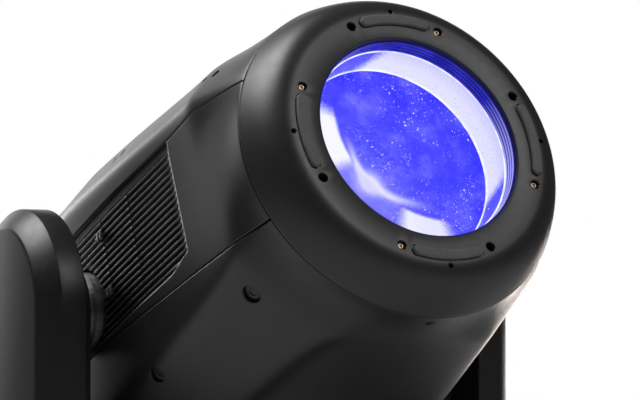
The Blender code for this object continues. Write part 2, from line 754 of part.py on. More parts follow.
FACE = -BASE_Y - GAP  # the display panel's back
holes = [rounded(-62, 42, 22, 96, 3), circle(5.6, 12, 50, 69)]
for x, z in ((50, 87), (50, 51), (34, 69), (66, 69)):
    holes.append(circle(4.6, 12, x, z))
plate("display_panel", [rounded(-78, 32, 84, 106, 8)] + holes, -FACE, -FACE + 4, BLACK,
      local=XZ_PLANE)
plate("display_screen", [rounded(-61.6, 42.4, 21.6, 95.6, 2.7)], -FACE, -FACE + 3.4, SCREEN,
      local=XZ_PLANE)
BUTTONS = (("enter", 50, 69, 5.2), ("up", 50, 87, 4.2), ("down", 50, 51, 4.2))
BUTTONS += (("left", 34, 69, 4.2), ("right", 66, 69, 4.2))
for label, x, z, radius in BUTTONS:
    drum(f"menu_button_{label}", radius, 0, 4.4, SCREEN_GREY, sides=12,
         place=at(x, FACE - 2.1, z) @ Matrix.Rotation(math.radians(90), 4, "X"))

BACK = BASE_Y + GAP
SOCKETS = (("power_inlet", -60, 12.5, 9.5), ("data_in_socket", 0, 12.5, 9.5))
SOCKETS += (("data_out_socket", 60, 12.5, 9.5),)
holes = [circle(radius + 0.6, 16, x, 60) for _, x, radius, _ in SOCKETS]
plate("connector_panel", [rounded(-112, 24, 112, 96, 6)] + holes, -BACK - 3, -BACK, STEEL,
      local=XZ_PLANE)
for label, x, radius, bore in SOCKETS:
    flange_low, flange_high = BACK + 3 + GAP, BACK + 5.3 + GAP
    socket = block(label, (x - 16, flange_low, 44), (x + 16, flange_high, 76), BLACK)
    join(socket, drum_mesh("barrel", radius, BACK - 12, BACK + 7.6, 16, at(x, 0, 60) @ ALONG_Y))
    cut(socket, drum_mesh("bore", bore, BACK - 8, BACK + 12, 16, at(x, 0, 60) @ ALONG_Y))

eye = [(126, BACK, 30)]
for i in range(7):
    angle = math.radians(90 - 180 * i / 6)
    eye.append((138 - 12 * math.sin(angle), BACK + 12 + 12 * math.cos(angle), 30))
eye.append((150, BACK, 30))
bar("safety_eye", eye, 3, STEEL)

block("power_supply", (-160, -120, 6.6), (-40, -20, 62), ALUMINIUM, chamfer=2)
rotor("base_fan", 0, 0, 0, 10, 10, 27, 7, BLACK, None, at(170, 0, 62) @ ALONG_X)
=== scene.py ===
import json
import math

import bmesh
import bpy
import numpy as np
from mathutils import Matrix, Vector


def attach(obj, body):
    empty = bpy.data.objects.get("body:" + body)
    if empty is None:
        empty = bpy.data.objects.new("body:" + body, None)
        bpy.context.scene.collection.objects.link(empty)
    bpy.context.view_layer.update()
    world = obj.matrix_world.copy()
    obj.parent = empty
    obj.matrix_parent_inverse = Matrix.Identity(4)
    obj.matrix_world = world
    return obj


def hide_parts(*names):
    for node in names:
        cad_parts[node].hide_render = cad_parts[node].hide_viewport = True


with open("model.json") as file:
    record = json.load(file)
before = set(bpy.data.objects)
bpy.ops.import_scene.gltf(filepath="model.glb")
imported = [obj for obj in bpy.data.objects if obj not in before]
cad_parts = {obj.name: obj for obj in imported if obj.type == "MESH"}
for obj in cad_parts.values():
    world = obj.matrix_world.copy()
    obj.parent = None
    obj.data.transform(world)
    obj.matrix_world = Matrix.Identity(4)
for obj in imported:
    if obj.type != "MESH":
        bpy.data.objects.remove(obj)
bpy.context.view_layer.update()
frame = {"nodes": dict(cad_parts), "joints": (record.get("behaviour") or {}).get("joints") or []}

MM = 0.001
JOINTS = {joint["name"]: joint for joint in frame["joints"]}
TILT_Z = JOINTS["tilt"]["pos_m"][2] / MM
ELEVATION = 24.26
FRONT = 343.5
REAR = 245.0
SEAM = 37.5
CAP_START = 535.0
PAD_RADIUS = 107.0
RIBS = 17
RIB_PITCH = 5.9
RIB_LOWEST = -33.4
RIB_END = 480.0
ARM_SPLIT = 193.0
ARM_OUTER = 232.6
ARM_CHAMFER = 17.0
ARM_HALF_DEPTH = 90.0

# ---------------------------------------------------------------- placing


def at(x=0.0, y=0.0, z=0.0):
    return Matrix.Translation((x * MM, y * MM, z * MM))


HEAD_PLACE = at(0, 0, TILT_Z) @ Matrix.Rotation(math.radians(90 - ELEVATION), 4, "X")
ALONG_X = Matrix.Rotation(math.radians(90), 4, "Y")
ALONG_Y = Matrix.Rotation(math.radians(-90), 4, "X")
IDENTITY = Matrix()


def frame_on(point, normal, up=(0, 0, 1)):
    """A matrix at point whose local Z is the normal."""
    z = Vector(normal).normalized()
    x = Vector(up).cross(z)
    if x.length < 1e-6:
        x = Vector((1, 0, 0)).cross(z)
    x.normalize()
    y = z.cross(x)
    made = Matrix((x, y, z)).transposed().to_4x4()
    made.translation = Vector(point) * MM
    return made


# ---------------------------------------------------------------- materials


class Nodes:
    """A material's node tree, with short calls for the nodes used here."""

    def __init__(self, name):
        self.material = bpy.data.materials.new(name)
        self.material.use_nodes = True
        self.tree = self.material.node_tree
        self.shader = self.tree.nodes["Principled BSDF"]

    def add(self, kind, **values):
        node = self.tree.nodes.new(kind)
        for key, value in values.items():
            if hasattr(node, key) and key not in node.inputs:
                setattr(node, key, value)
        return node

    def link(self, source, target):
        self.tree.links.new(source, target)

    def coords(self):
        return self.add("ShaderNodeTexCoord").outputs["Object"]

    def noise(self, scale, detail=2.0, roughness=0.5, vector=None):
        node = self.add("ShaderNodeTexNoise")
        node.inputs["Scale"].default_value = scale
        node.inputs["Detail"].default_value = detail
        node.inputs["Roughness"].default_value = roughness
        self.link(vector or self.coords(), node.inputs["Vector"])
        return node.outputs["Fac"]

    def ramp(self, source, stops):
        node = self.add("ShaderNodeValToRGB")
        elements = node.color_ramp.elements
        while len(elements) > len(stops):
            elements.remove(elements[-1])
        while len(elements) < len(stops):
            elements.new(1.0)
        for element, (position, colour) in zip(elements, stops):
            element.position = position
            element.color = (*colour, 1.0) if len(colour) == 3 else colour
        self.link(source, node.inputs["Fac"])
        return node.outputs["Color"]

    def map(self, source, low, high, to_low, to_high):
        node = self.add("ShaderNodeMapRange")
        for key, value in zip(("From Min", "From Max", "To Min", "To Max"), (low, high, to_low, to_high)):
            node.inputs[key].default_value = value
        self.link(source, node.inputs["Value"])
        return node.outputs["Result"]

    def maths(self, operation, *sources):
        node = self.add("ShaderNodeMath")
        node.operation = operation
        for socket, source in zip(node.inputs, sources):
            if isinstance(source, (int, float)):
                socket.default_value = source
            else:
                self.link(source, socket)
        return node.outputs["Value"]

    def mix(self, factor, first, second):
        node = self.add("ShaderNodeMix")
        node.data_type = "RGBA"
        for socket, source in zip((node.inputs[0], node.inputs[6], node.inputs[7]), (factor, first, second)):
            if isinstance(source, (int, float)):
                socket.default_value = source
            elif isinstance(source, tuple):
                socket.default_value = (*source, 1.0)
            else:
                self.link(source, socket)
        return node.outputs[2]

    def bump(self, height, strength, distance, normal=None):
        node = self.add("ShaderNodeBump")
        node.inputs["Strength"].default_value = strength
        node.inputs["Distance"].default_value = distance
        self.link(height, node.inputs["Height"])
        if normal is not None:
            self.link(normal, node.inputs["Normal"])
        return node.outputs["Normal"]


def plastic(name, colour, roughness, grain=900.0, strength=0.25, specular=0.5, spread=0.10):
    """Moulded plastic: a fine spark-eroded grain, faint cloudy tone and uneven gloss."""
    n = Nodes(name)
    tone = n.noise(9.0, 3.0)
    dust = n.noise(160.0, 4.0, 0.7)
    low = tuple(c * (1 - spread) for c in colour)
    high = tuple(min(1.0, c * (1 + spread) + 0.002) for c in colour)
    base = n.ramp(n.maths("MULTIPLY_ADD", dust, 0.35, n.maths("MULTIPLY", tone, 0.65)),
                  [(0.3, low), (0.7, high)])
    n.link(base, n.shader.inputs["Base Color"])
    n.link(n.map(dust, 0.3, 0.7, roughness - 0.03, roughness + 0.04), n.shader.inputs["Roughness"])
    n.link(n.bump(n.noise(grain, 2.0, 0.6), strength, 0.00015), n.shader.inputs["Normal"])
    n.shader.inputs["Specular IOR Level"].default_value = specular
    return n.material


def metal(name, colour, roughness, stretch=(1, 1, 40), scale=60.0, metallic=1.0):
    """Plated or machined metal with a drawn finish."""
    n = Nodes(name)
    mapping = n.add("ShaderNodeMapping")
    mapping.inputs["Scale"].default_value = stretch
    n.link(n.coords(), mapping.inputs["Vector"])
    streak = n.noise(scale, 3.0, 0.6, mapping.outputs["Vector"])
    low = tuple(c * 0.82 for c in colour)
    n.link(n.ramp(streak, [(0.3, low), (0.7, colour)]), n.shader.inputs["Base Color"])
    n.link(n.map(streak, 0.3, 0.7, roughness - 0.05, roughness + 0.08), n.shader.inputs["Roughness"])
    n.link(n.bump(streak, 0.15, 0.0001), n.shader.inputs["Normal"])
    n.shader.inputs["Metallic"].default_value = metallic
    return n.material


def rubber(name, colour, roughness=0.72):
    n = Nodes(name)
    speck = n.noise(700.0, 3.0, 0.7)
    cloud = n.noise(60.0, 2.0)
    low = tuple(c * 0.75 for c in colour)
    high = tuple(c * 1.25 for c in colour)
    n.link(n.ramp(n.maths("MULTIPLY_ADD", speck, 0.6, n.maths("MULTIPLY", cloud, 0.4)),
                  [(0.35, low), (0.65, high)]), n.shader.inputs["Base Color"])
    n.link(n.map(cloud, 0.3, 0.7, roughness - 0.06, roughness + 0.06), n.shader.inputs["Roughness"])
    n.link(n.bump(speck, 0.5, 0.0003), n.shader.inputs["Normal"])
    return n.material


CHARCOAL = plastic("charcoal_plastic_look", (0.0100, 0.0094, 0.0096), 0.38)
BEZEL = plastic("bezel_plastic_look", (0.020, 0.0195, 0.022), 0.40, strength=0.30)
BLACK = plastic("black_plastic_look", (0.005, 0.005, 0.005), 0.50, strength=0.2)
# The louvre grooves' floor, darker than the charcoal: painted shade in the slots.
SLOT_SHADE = plastic("louvre_painted_shade_look", (0.004, 0.004, 0.004), 0.65)
RUBBER = rubber("grey_rubber_look", (0.125, 0.123, 0.122))
FOOT_RUBBER = rubber("foot_rubber_look", (0.020, 0.020, 0.021), 0.8)
STEEL = metal("zinc_steel_look", (0.55, 0.55, 0.57), 0.30)
BRONZE = metal("bronzed_screw_look", (0.40, 0.29, 0.19), 0.33, scale=200.0)
DARK_SCREW = metal("black_screw_look", (0.05, 0.05, 0.052), 0.38, scale=200.0)
ALUMINIUM = metal("cast_aluminium_look", (0.38, 0.39, 0.40), 0.42, stretch=(1, 1, 4))
BLACK_METAL = plastic("powder_coat_look", (0.016, 0.016, 0.017), 0.48, grain=500.0, strength=0.5)
ANODISED = metal("black_anodised_look", (0.025, 0.025, 0.028), 0.35, stretch=(1, 1, 12))
BUTTON = plastic("button_plastic_look", (0.16, 0.16, 0.17), 0.45)
CLIP = metal("clip_metal_look", (0.30, 0.30, 0.31), 0.45, scale=150.0)

# ---------------------------------------------------------------- mesh helpers


def shade(mesh, angle=32.0):
    mesh.polygons.foreach_set("use_smooth", [True] * len(mesh.polygons))
    mesh.set_sharp_from_angle(angle=math.radians(angle))


def piece(name, mesh, finish, body, nodes=(), place=IDENTITY, angle=32.0):
    made = bpy.data.objects.new(name, mesh)
    bpy.context.scene.collection.objects.link(made)
    if finish is not None:
        mesh.materials.clear()
        mesh.materials.append(finish)
    made.matrix_world = place
    shade(mesh, angle)
    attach(made, body)
    if nodes:
        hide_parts(*nodes)
    return made


def mesh_of(name, bm, recalc=True):
    mesh = bpy.data.meshes.new(name)
    if recalc:
        bmesh.ops.recalc_face_normals(bm, faces=bm.faces[:])
    bm.to_mesh(mesh)
    bm.free()
    return mesh


def from_arrays(name, points, faces):
    mesh = bpy.data.meshes.new(name)
    mesh.from_pydata((np.asarray(points, float) * MM).tolist(), [], faces)
    bm = bmesh.new()
    bm.from_mesh(mesh)
    bmesh.ops.remove_doubles(bm, verts=bm.verts[:], dist=0.000002)
    bmesh.ops.recalc_face_normals(bm, faces=bm.faces[:])
    bm.to_mesh(mesh)
    bm.free()
    return mesh


def round_profile(profile, radius, count=4, closed=True):
    """The profile with each corner turned into a small arc."""
    total = len(profile)
    made = []
    for i, (x, y) in enumerate(profile):
        if not closed and i in (0, total - 1):
            made.append((x, y))
            continue
        a = Vector(profile[i - 1]) - Vector((x, y))
        b = Vector(profile[(i + 1) % total]) - Vector((x, y))
        reach = min(radius, a.length * 0.45, b.length * 0.45)
        start = Vector((x, y)) + a.normalized() * reach
        end = Vector((x, y)) + b.normalized() * reach
        for k in range(count + 1):
            t = k / count
            p = (1 - t) ** 2 * start + 2 * t * (1 - t) * Vector((x, y)) + t * t * end
            made.append((p.x, p.y))
    return made


def turned_mesh(name, profile, steps=128, rounding=0.4, closed=True, count=3):
    """A profile of (radius, height) turned about local Z."""
    if rounding:
        profile = round_profile(profile, rounding, count, closed)
    rows = len(profile)
    r = np.array([p[0] for p in profile])
    z = np.array([p[1] for p in profile])
    t = np.arange(steps) * math.tau / steps
    points = np.stack([r[None] * np.cos(t)[:, None], r[None] * np.sin(t)[:, None],
                       np.repeat(z[None], steps, 0)], -1).reshape(-1, 3)
    faces = []
    for i in range(steps):
        j = (i + 1) % steps
        for k in range(rows if closed else rows - 1):
            m = (k + 1) % rows
            quad = [i * rows + k, j * rows + k, j * rows + m, i * rows + m]
            if r[k] < 1e-6:
                quad = [quad[0], quad[2], quad[3]]
            elif r[m] < 1e-6:
                quad = quad[:3]
            faces.append(quad)
    return from_arrays(name, points, faces)


def block_mesh(name, low, high, chamfer=0.0, segments=3, place=IDENTITY):
    bm = bmesh.new()
    size = [(b - a) * MM for a, b in zip(low, high)]
    middle = [(a + b) / 2 for a, b in zip(low, high)]
    bmesh.ops.create_cube(bm, size=1.0, matrix=place @ at(*middle) @ Matrix.Diagonal((*size, 1)))
    if chamfer:
        bmesh.ops.bevel(bm, geom=bm.edges[:], offset=chamfer * MM, segments=segments, profile=0.5,
                        affect="EDGES")
    return mesh_of(name, bm)


def drum_mesh(name, radius, low, high, sides=32, place=IDENTITY, top=None):
    bm = bmesh.new()
    bmesh.ops.create_cone(bm, cap_ends=True, segments=sides, radius1=radius * MM,
                          radius2=(radius if top is None else top) * MM, depth=(high - low) * MM,
                          matrix=place @ at(0, 0, (low + high) / 2))
    return mesh_of(name, bm)


def prism_mesh(name, loops, low, high, place=IDENTITY, chamfer=0.0, segments=2):
    """Flat outlines, with holes, given thickness along the place's Z and softened edges."""
    curve = bpy.data.curves.new(name, "CURVE")
    curve.dimensions = "2D"
    curve.fill_mode = "BOTH"
    curve.extrude = (high - low) / 2 * MM
    for loop in loops:
        spline = curve.splines.new("POLY")
        spline.points.add(len(loop) - 1)
        for point, (x, y) in zip(spline.points, loop):
            point.co = (x * MM, y * MM, 0, 1)
        spline.use_cyclic_u = True
    guide = bpy.data.objects.new(name + "_outline", curve)
    mesh = bpy.data.meshes.new_from_object(guide)
    bpy.data.objects.remove(guide, do_unlink=True)
    bm = bmesh.new()
    bm.from_mesh(mesh)
    bpy.data.meshes.remove(mesh)
    bmesh.ops.remove_doubles(bm, verts=bm.verts[:], dist=0.000001)
    bmesh.ops.dissolve_limit(bm, angle_limit=0.001, verts=bm.verts[:], edges=bm.edges[:])
    if chamfer:
        rim = [e for e in bm.edges if len(e.link_faces) == 2 and e.calc_face_angle(0) > 1.2
               and abs(e.verts[0].co.z - e.verts[1].co.z) < 1e-7]
        bmesh.ops.bevel(bm, geom=rim, offset=chamfer * MM, segments=segments, profile=0.5,
                        affect="EDGES", clamp_overlap=True)
    bmesh.ops.transform(bm, matrix=place @ at(0, 0, (low + high) / 2), verts=bm.verts[:])
    mesh = mesh_of(name, bm)
    return mesh


def circle(radius, count, cx=0.0, cy=0.0, start=0.0):
    step = math.tau / count
    return [(cx + radius * math.cos(start + i * step), cy + radius * math.sin(start + i * step))
            for i in range(count)]


def rounded(x0, y0, x1, y1, radius, count=8):
    corners = ((x1 - radius, y1 - radius), (x0 + radius, y1 - radius))
    corners += ((x0 + radius, y0 + radius), (x1 - radius, y0 + radius))
    points = []
    for quarter, (cx, cy) in enumerate(corners):
        for i in range(count + 1):
            angle = math.radians(90 * (quarter + i / count))
            points.append((cx + radius * math.cos(angle), cy + radius * math.sin(angle)))
    return points


def merged(name, meshes):
    """Several meshes as one, for repeated small hardware of one kind."""
    bm = bmesh.new()
    for mesh in meshes:
        bm.from_mesh(mesh)
    made = bpy.data.meshes.new(name)
    bm.to_mesh(made)
    bm.free()
    return made


def transformed(mesh, place):
    made = mesh.copy()
    made.transform(place)
    return made


def carve(target, cutters, operation="DIFFERENCE"):
    """Applies exact Booleans with each cutter, given in the target's own space."""
    for mesh in cutters:
        tool = bpy.data.objects.new("tool", mesh)
        bpy.context.scene.collection.objects.link(tool)
        tool.matrix_world = target.matrix_world
        step = target.modifiers.new("carve", "BOOLEAN")
        step.operation = operation
        step.solver = "EXACT"
        step.object = tool
        bpy.context.view_layer.update()
        graph = bpy.context.evaluated_depsgraph_get()
        result = bpy.data.meshes.new_from_object(target.evaluated_get(graph))
        target.modifiers.clear()
        old = target.data
        target.data = result
        bpy.data.meshes.remove(old)
        bpy.data.objects.remove(tool, do_unlink=True)
    shade(target.data)


# ---------------------------------------------------------------- the head's outer form

STATIONS = np.array([
    (37.5, 143.9, 144.2), (60.0, 144.1, 148.6), (85.0, 144.4, 154.4), (142.0, 145.4, 162.9),
    (190.0, 148.0, 169.6), (235.0, 150.9, 175.0), (290.0, 153.6, 180.6), (343.5, 155.2, 184.6),
    (430.0, 155.6, 186.6), (500.0, 154.4, 184.6), (545.0, 152.0, 180.0)])
# The corner above the side, and the sloped strip over it: at the bezel, then at the tilt axis
FOLD_FRONT, FOLD_MIDDLE = 78.0, 100.0
STRIP_FRONT, STRIP_MIDDLE = 40.0, 60.0
STRIP_TURN, CROWN_TURN = 42.0, 62.0  # how far the strip and the crown face up from the side, in degrees
UPPER_SEAM = ((37.5, 26.9), (152.0, 25.9), (343.5, 24.8), (545.0, 24.8))
LOWER_SEAM = ((37.5, 24.3), (152.0, 19.9), (289.0, 15.8), (375.0, 14.9), (545.0, 14.7))


def smooth_table(x, xs, ys):
    """A smooth reading of a table, through its points."""
    x = np.clip(x, xs[0], xs[-1])
    slopes = np.gradient(ys, xs)
    i = np.clip(np.searchsorted(xs, x, "right") - 1, 0, len(xs) - 2)
    h = xs[i + 1] - xs[i]
    t = (x - xs[i]) / h
    return ((2 * t**3 - 3 * t**2 + 1) * ys[i] + (t**3 - 2 * t**2 + t) * h * slopes[i]
            + (-2 * t**3 + 3 * t**2) * ys[i + 1] + (t**3 - t**2) * h * slopes[i + 1])


def half_width(s):
    return smooth_table(np.asarray(s, float), STATIONS[:, 0], STATIONS[:, 1])


def corner(s):
    return smooth_table(np.asarray(s, float), STATIONS[:, 0], STATIONS[:, 2])


def seam(table, s):
    return np.interp(s, [p for p, _ in table], [v for _, v in table])


def upper_outline(cosine, sine, s, power):
    """The upper quarter's outline: side, sloped strip, crown and top."""
    a = half_width(s)
    back = np.clip((s - SEAM) / (FRONT - SEAM), 0.0, 1.0)
    fold = FOLD_FRONT + (FOLD_MIDDLE - FOLD_FRONT) * back
    length = STRIP_FRONT + (STRIP_MIDDLE - STRIP_FRONT) * back
    lean = math.radians(STRIP_TURN)
    far = (a - length * math.sin(lean), fold + length * math.cos(lean))
    sides = [cosine / a, sine / a]
    for turn, (px, pw) in ((STRIP_TURN, (a, fold)), (CROWN_TURN, far)):
        nx, nw = math.cos(math.radians(turn)), math.sin(math.radians(turn))
        sides.append((cosine * nx + sine * nw) / (px * nx + pw * nw))
    most = np.maximum.reduce(sides)
    return sum((side / most) ** power for side in sides) ** (-1 / power) / most


def skin_radius(angle, s):
    """Distance from the optical axis to the skin at an angle in degrees, s behind the front face."""
    a = half_width(s)
    c = corner(s) * math.sqrt(2)
    cosine = np.abs(np.cos(np.radians(angle)))
    sine = np.abs(np.sin(np.radians(angle)))
    power = np.where(np.sin(np.radians(angle)) > 0, 90.0, 42.0)
    m = np.maximum(np.maximum(cosine / a, sine / a), (cosine + sine) / c)
    total = (cosine / a / m) ** power + (sine / a / m) ** power + ((cosine + sine) / c / m) ** power
    square = total ** (-1 / power) / m
    t = np.clip((s - SEAM) / 48.0, 0.0, 1.0)
    blend = t * t * (3 - 2 * t)
    above = np.clip(np.sin(np.radians(angle)) / 0.35, 0.0, 1.0)
    upper_share = np.clip((534.0 - s) / 130.0, 0.0, 1.0) * above
    square = square + upper_share * (upper_outline(cosine, sine, s, 60.0) - square)
    blend = blend + above * (np.clip((s - SEAM) / 70.0, 0.0, 1.0) ** 0.8 - blend)
    return (1 - blend) * STATIONS[0, 2] + blend * square


def skin_point(angle, s, inward=0.0):
    r = skin_radius(angle, s) - inward
    return np.stack([r * np.cos(np.radians(angle)), r * np.sin(np.radians(angle)),
                     FRONT - s + 0 * r], -1)


def skin_place(angle, s):
    """A matrix on the skin, with local Z outwards."""
    p = skin_point(np.array(angle, float), np.array(s, float))
    here, turn = np.array(s, float), np.array(angle, float)
    du = skin_point(np.array(angle + 0.4), here) - skin_point(np.array(angle - 0.4), here)
    ds = skin_point(turn, np.array(s + 1.0)) - skin_point(turn, np.array(s - 1.0))
    n = Vector(du).cross(Vector(ds))
    if n.dot(Vector((p[0], p[1], 0))) < 0:
        n = -n
    return frame_on(p, n, up=(0, 0, 1))


def sheet_mesh(name, stations, outer, inner_rows, thickness):
    """A closed sheet of skin. outer(s) gives (angles, depths); the inside follows on fewer rows."""
    stations = np.asarray(stations, float)
    front = []
    back = []
    for s in stations:
        angles, depths = outer(s)
        front.append(skin_point(angles, np.full(len(angles), s), depths))
        rows = np.linspace(angles[0], angles[-1], inner_rows)
        back.append(skin_point(rows, np.full(inner_rows, s), thickness))
    n, m, count = len(front[0]), inner_rows, len(stations)
    points = np.concatenate([np.concatenate(front), np.concatenate(back)])
    base = n * count
    faces = []
    for j in range(count - 1):
        for i in range(n - 1):
            faces.append([j * n + i, j * n + i + 1, (j + 1) * n + i + 1, (j + 1) * n + i])
        for i in range(m - 1):
            faces.append([base + j * m + i, base + (j + 1) * m + i, base + (j + 1) * m + i + 1,
                          base + j * m + i + 1])
        for i, k in ((0, 0), (n - 1, m - 1)):
            faces.append([j * n + i, (j + 1) * n + i, base + (j + 1) * m + k, base + j * m + k])
    for j in (0, count - 1):
        faces.append([j * n + i for i in range(n)] + [base + j * m + i for i in range(m)][::-1])
    return from_arrays(name, points, faces)


EDGE = np.array([0.0, 0.12, 0.35, 0.7, 1.1])  # distances in from a seam, mm, where the edge rounds over
ROLL = 1.1


def edge_depth(d):
    d = np.clip(d, 0.0, ROLL)
    return ROLL - np.sqrt(np.maximum(ROLL**2 - (ROLL - d) ** 2, 0.0))


def end_depth(s, first, last):
    return edge_depth(s - first) + edge_depth(last - s)


def sheet_stations(first, last, extra=(), step=7.0):
    inside = np.arange(first + 3, last - 2, step)
    return np.unique(np.round(np.concatenate([first + EDGE, inside, last - EDGE, list(extra)]), 3))


def cover_rows(low_angle, high_angle, first, last, count=190):
    def rows(s):
        low, high = low_angle(s), high_angle(s)
        one = math.degrees(1.0 / skin_radius(low, s))
        inside = np.linspace(low + 1.5 * one, high - 1.5 * one, count)
        angles = np.concatenate([low + EDGE * one, inside, (high - EDGE * one)[::-1]])
        depths = edge_depth(np.minimum(angles - low, high - angles) / one)
        return angles, np.maximum(depths, end_depth(s, first, last))

    return rows


GAP_ANGLE = 0.17
FIRST = 38.0
LAST = 534.4
cover_s = sheet_stations(FIRST, LAST)
upper = piece("upper_cover_skin", sheet_mesh(
    "upper", cover_s,
    cover_rows(lambda s: seam(UPPER_SEAM, s) + GAP_ANGLE, lambda s: 180 - seam(UPPER_SEAM, s) - GAP_ANGLE,
               FIRST, LAST), 60, 3.0),
    CHARCOAL, "head", ["upper_cover"], HEAD_PLACE)
lower = piece("lower_cover_skin", sheet_mesh(
    "lower", cover_s,
    cover_rows(lambda s: seam(LOWER_SEAM, s) - 180 + GAP_ANGLE, lambda s: -seam(LOWER_SEAM, s) - GAP_ANGLE,
               FIRST, LAST), 60, 3.0),
    CHARCOAL, "head", ["lower_cover"], HEAD_PLACE)

# Louvred side panels: a recess with a soft lip, ribs along the head, and grooves that ramp out at the front
RIB_TOP = RIB_LOWEST + (RIBS - 1) * RIB_PITCH
CREST = 1.5
GROOVE = 5.2
RECESS_LOW = RIB_LOWEST - 5.4


def step_up(x, low, high):
    t = np.clip((x - low) / (high - low), 0.0, 1.0)
    return t * t * (3 - 2 * t)


def louvre_depth(w, s):
    """Depth of the louvre relief at height w and distance s."""
    lip = RECESS_LOW + 6.5 * (1 - step_up(s, 156.0, 190.0))  # the lower front corner is cut away
    across = step_up(w, lip, lip + 3.2)
    along = step_up(s, 153.5, 156.5) * step_up(RIB_END + 3 - s, 0.0, 4.0)
    phase = (w - RIB_LOWEST) / RIB_PITCH
    inside = (phase > -0.5) & (phase < RIBS - 0.5)
    part = np.abs(phase - np.round(phase))
    groove = step_up(part, 0.20, 0.31)
    scoop = np.interp(s, [156.5, 165.5, 171.0], [0.0, 1.75 / (GROOVE - CREST), 1.0])
    ramp = scoop * step_up(RIB_END - s, 0.0, 5.0)
    mark = 0.5 * np.exp(-((s - 235.0) / 0.9) ** 2) + 0.5 * np.exp(-((s - 287.0) / 0.9) ** 2)
    depth = CREST - mark * (part < 0.16)
    depth = depth + (GROOVE - CREST) * groove * ramp
    depth = np.where(inside, depth, CREST + 0.6)
    return depth * across * along


def side_rows(first, last):
    offsets = np.concatenate([np.linspace(-0.5, 0.5, 15)[:-1] * RIB_PITCH + RIB_LOWEST + k * RIB_PITCH
                              for k in range(RIBS)] + [[RIB_TOP + 0.5 * RIB_PITCH]])
    lip = RECESS_LOW + np.array([-1.0, -0.4, 0.0, 0.6, 1.3, 2.0])

    def rows(s):
        a = float(half_width(s))
        low = -seam(LOWER_SEAM, s) + GAP_ANGLE
        high = seam(UPPER_SEAM, s) - GAP_ANGLE
        one = math.degrees(1.0 / skin_radius(low, s))
        low_w = a * math.tan(math.radians(low + 1.6 * one))
        plain = np.linspace(low_w, RECESS_LOW - 1.6, 8)
        high_w = a * math.tan(math.radians(high - 1.6 * one))
        above = np.linspace(RIB_TOP + 0.5 * RIB_PITCH + 0.6, high_w, 8)
        w = np.concatenate([plain, lip, offsets, above])
        angles = np.degrees(np.arctan2(w, a))
        angles = np.concatenate([low + EDGE * one, angles, (high - EDGE * one)[::-1]])
        angles = np.sort(angles)
        w = a * np.tan(np.radians(angles))
        depth = edge_depth(np.minimum(angles - low, high - angles) / one)
        return angles, np.maximum(np.maximum(depth, louvre_depth(w, s)), end_depth(s, first, last))

    return rows


extra_s = np.concatenate([np.arange(150, 170, 0.8), np.arange(172, 192, 2.5), 235 + np.array([-2, -1, -.4, .4, 1, 2]),
                          287 + np.array([-2, -1, -.4, .4, 1, 2]), np.arange(472, 484, 1.0)])
side_s = sheet_stations(FIRST, LAST, extra_s, 9.0)
right_rows = side_rows(FIRST, LAST)


def left_rows(s):
    angles, depths = right_rows(s)
    return 180 - angles, depths


panels = {}
for label, rows in (("right", right_rows), ("left", left_rows)):
    panels[label] = piece(f"side_panel_{label}_skin", sheet_mesh(f"side_{label}", side_s, rows, 12, 7.0),
                          CHARCOAL, "head", [f"side_panel_{label}"], HEAD_PLACE, 40)
    side = 1 if label == "right" else -1
    carve(panels[label], [drum_mesh("hole", 38.5, side * 155 - 20, side * 155 + 20, 96, ALONG_X)])
    # The groove floors take the darker material: painted shade deep in the slots.
    panels[label].data.materials.append(SLOT_SHADE)
    mesh = panels[label].data
    for polygon in mesh.polygons:
        x, w, z = polygon.center / MM
        s = FRONT - z
        angle = math.degrees(math.atan2(w, abs(x)))
        reach = float(skin_radius(angle, s)) - math.hypot(x, w)
        polygon.material_index = 1 if 3.6 < reach < 6.4 and 166 < s < 478 else 0

# ---------------------------------------------------------------- front bezel

bezel_profile = [(89.5, FRONT - 2.4), (90.4, FRONT - 0.5), (91.4, FRONT), (112.5, FRONT)]
sweep = np.linspace(0, 50.5, 44)
slope = np.radians(74.5) * (1 - np.exp(-sweep / 14.5))
run = np.concatenate([[0], np.cumsum(np.cos((slope[1:] + slope[:-1]) / 2) * np.diff(sweep))])
fall = np.concatenate([[0], np.cumsum(np.sin((slope[1:] + slope[:-1]) / 2) * np.diff(sweep))])
run *= (144.1 - 112.5) / run[-1]
fall *= 36.4 / fall[-1]
bezel_profile += [(112.5 + across, FRONT - down) for across, down in zip(run[1:], fall[1:])]
bezel_profile += [(144.1, FRONT - 37.2), (140.6, FRONT - 37.2), (130.0, FRONT - 16.5)]
bezel_profile += [(120, FRONT - 6), (89.5, FRONT - 6)]
bezel = piece("front_bezel_shell", turned_mesh("bezel", bezel_profile, 224, 0), BEZEL, "head",
              ["front_bezel"], HEAD_PLACE)


def arc_outline(radius, half_width_mm, middle, span, count=28):
    reach = span - math.degrees(half_width_mm / radius)
    points = []
    for i in range(count + 1):
        a = math.radians(middle - reach + 2 * reach * i / count)
        points.append(((radius + half_width_mm) * math.cos(a), (radius + half_width_mm) * math.sin(a)))
    end = math.radians(middle + reach)
    for i in range(1, 8):
        a = end + math.pi * i / 8
        points.append((radius * math.cos(end) + half_width_mm * math.cos(a),
                       radius * math.sin(end) + half_width_mm * math.sin(a)))
    for i in range(count + 1):
        a = math.radians(middle + reach - 2 * reach * i / count)
        points.append(((radius - half_width_mm) * math.cos(a), (radius - half_width_mm) * math.sin(a)))
    start = math.radians(middle - reach)
    for i in range(1, 8):
        a = start + math.pi + math.pi * i / 8
        points.append((radius * math.cos(start) + half_width_mm * math.cos(a),
                       radius * math.sin(start) + half_width_mm * math.sin(a)))
    return points


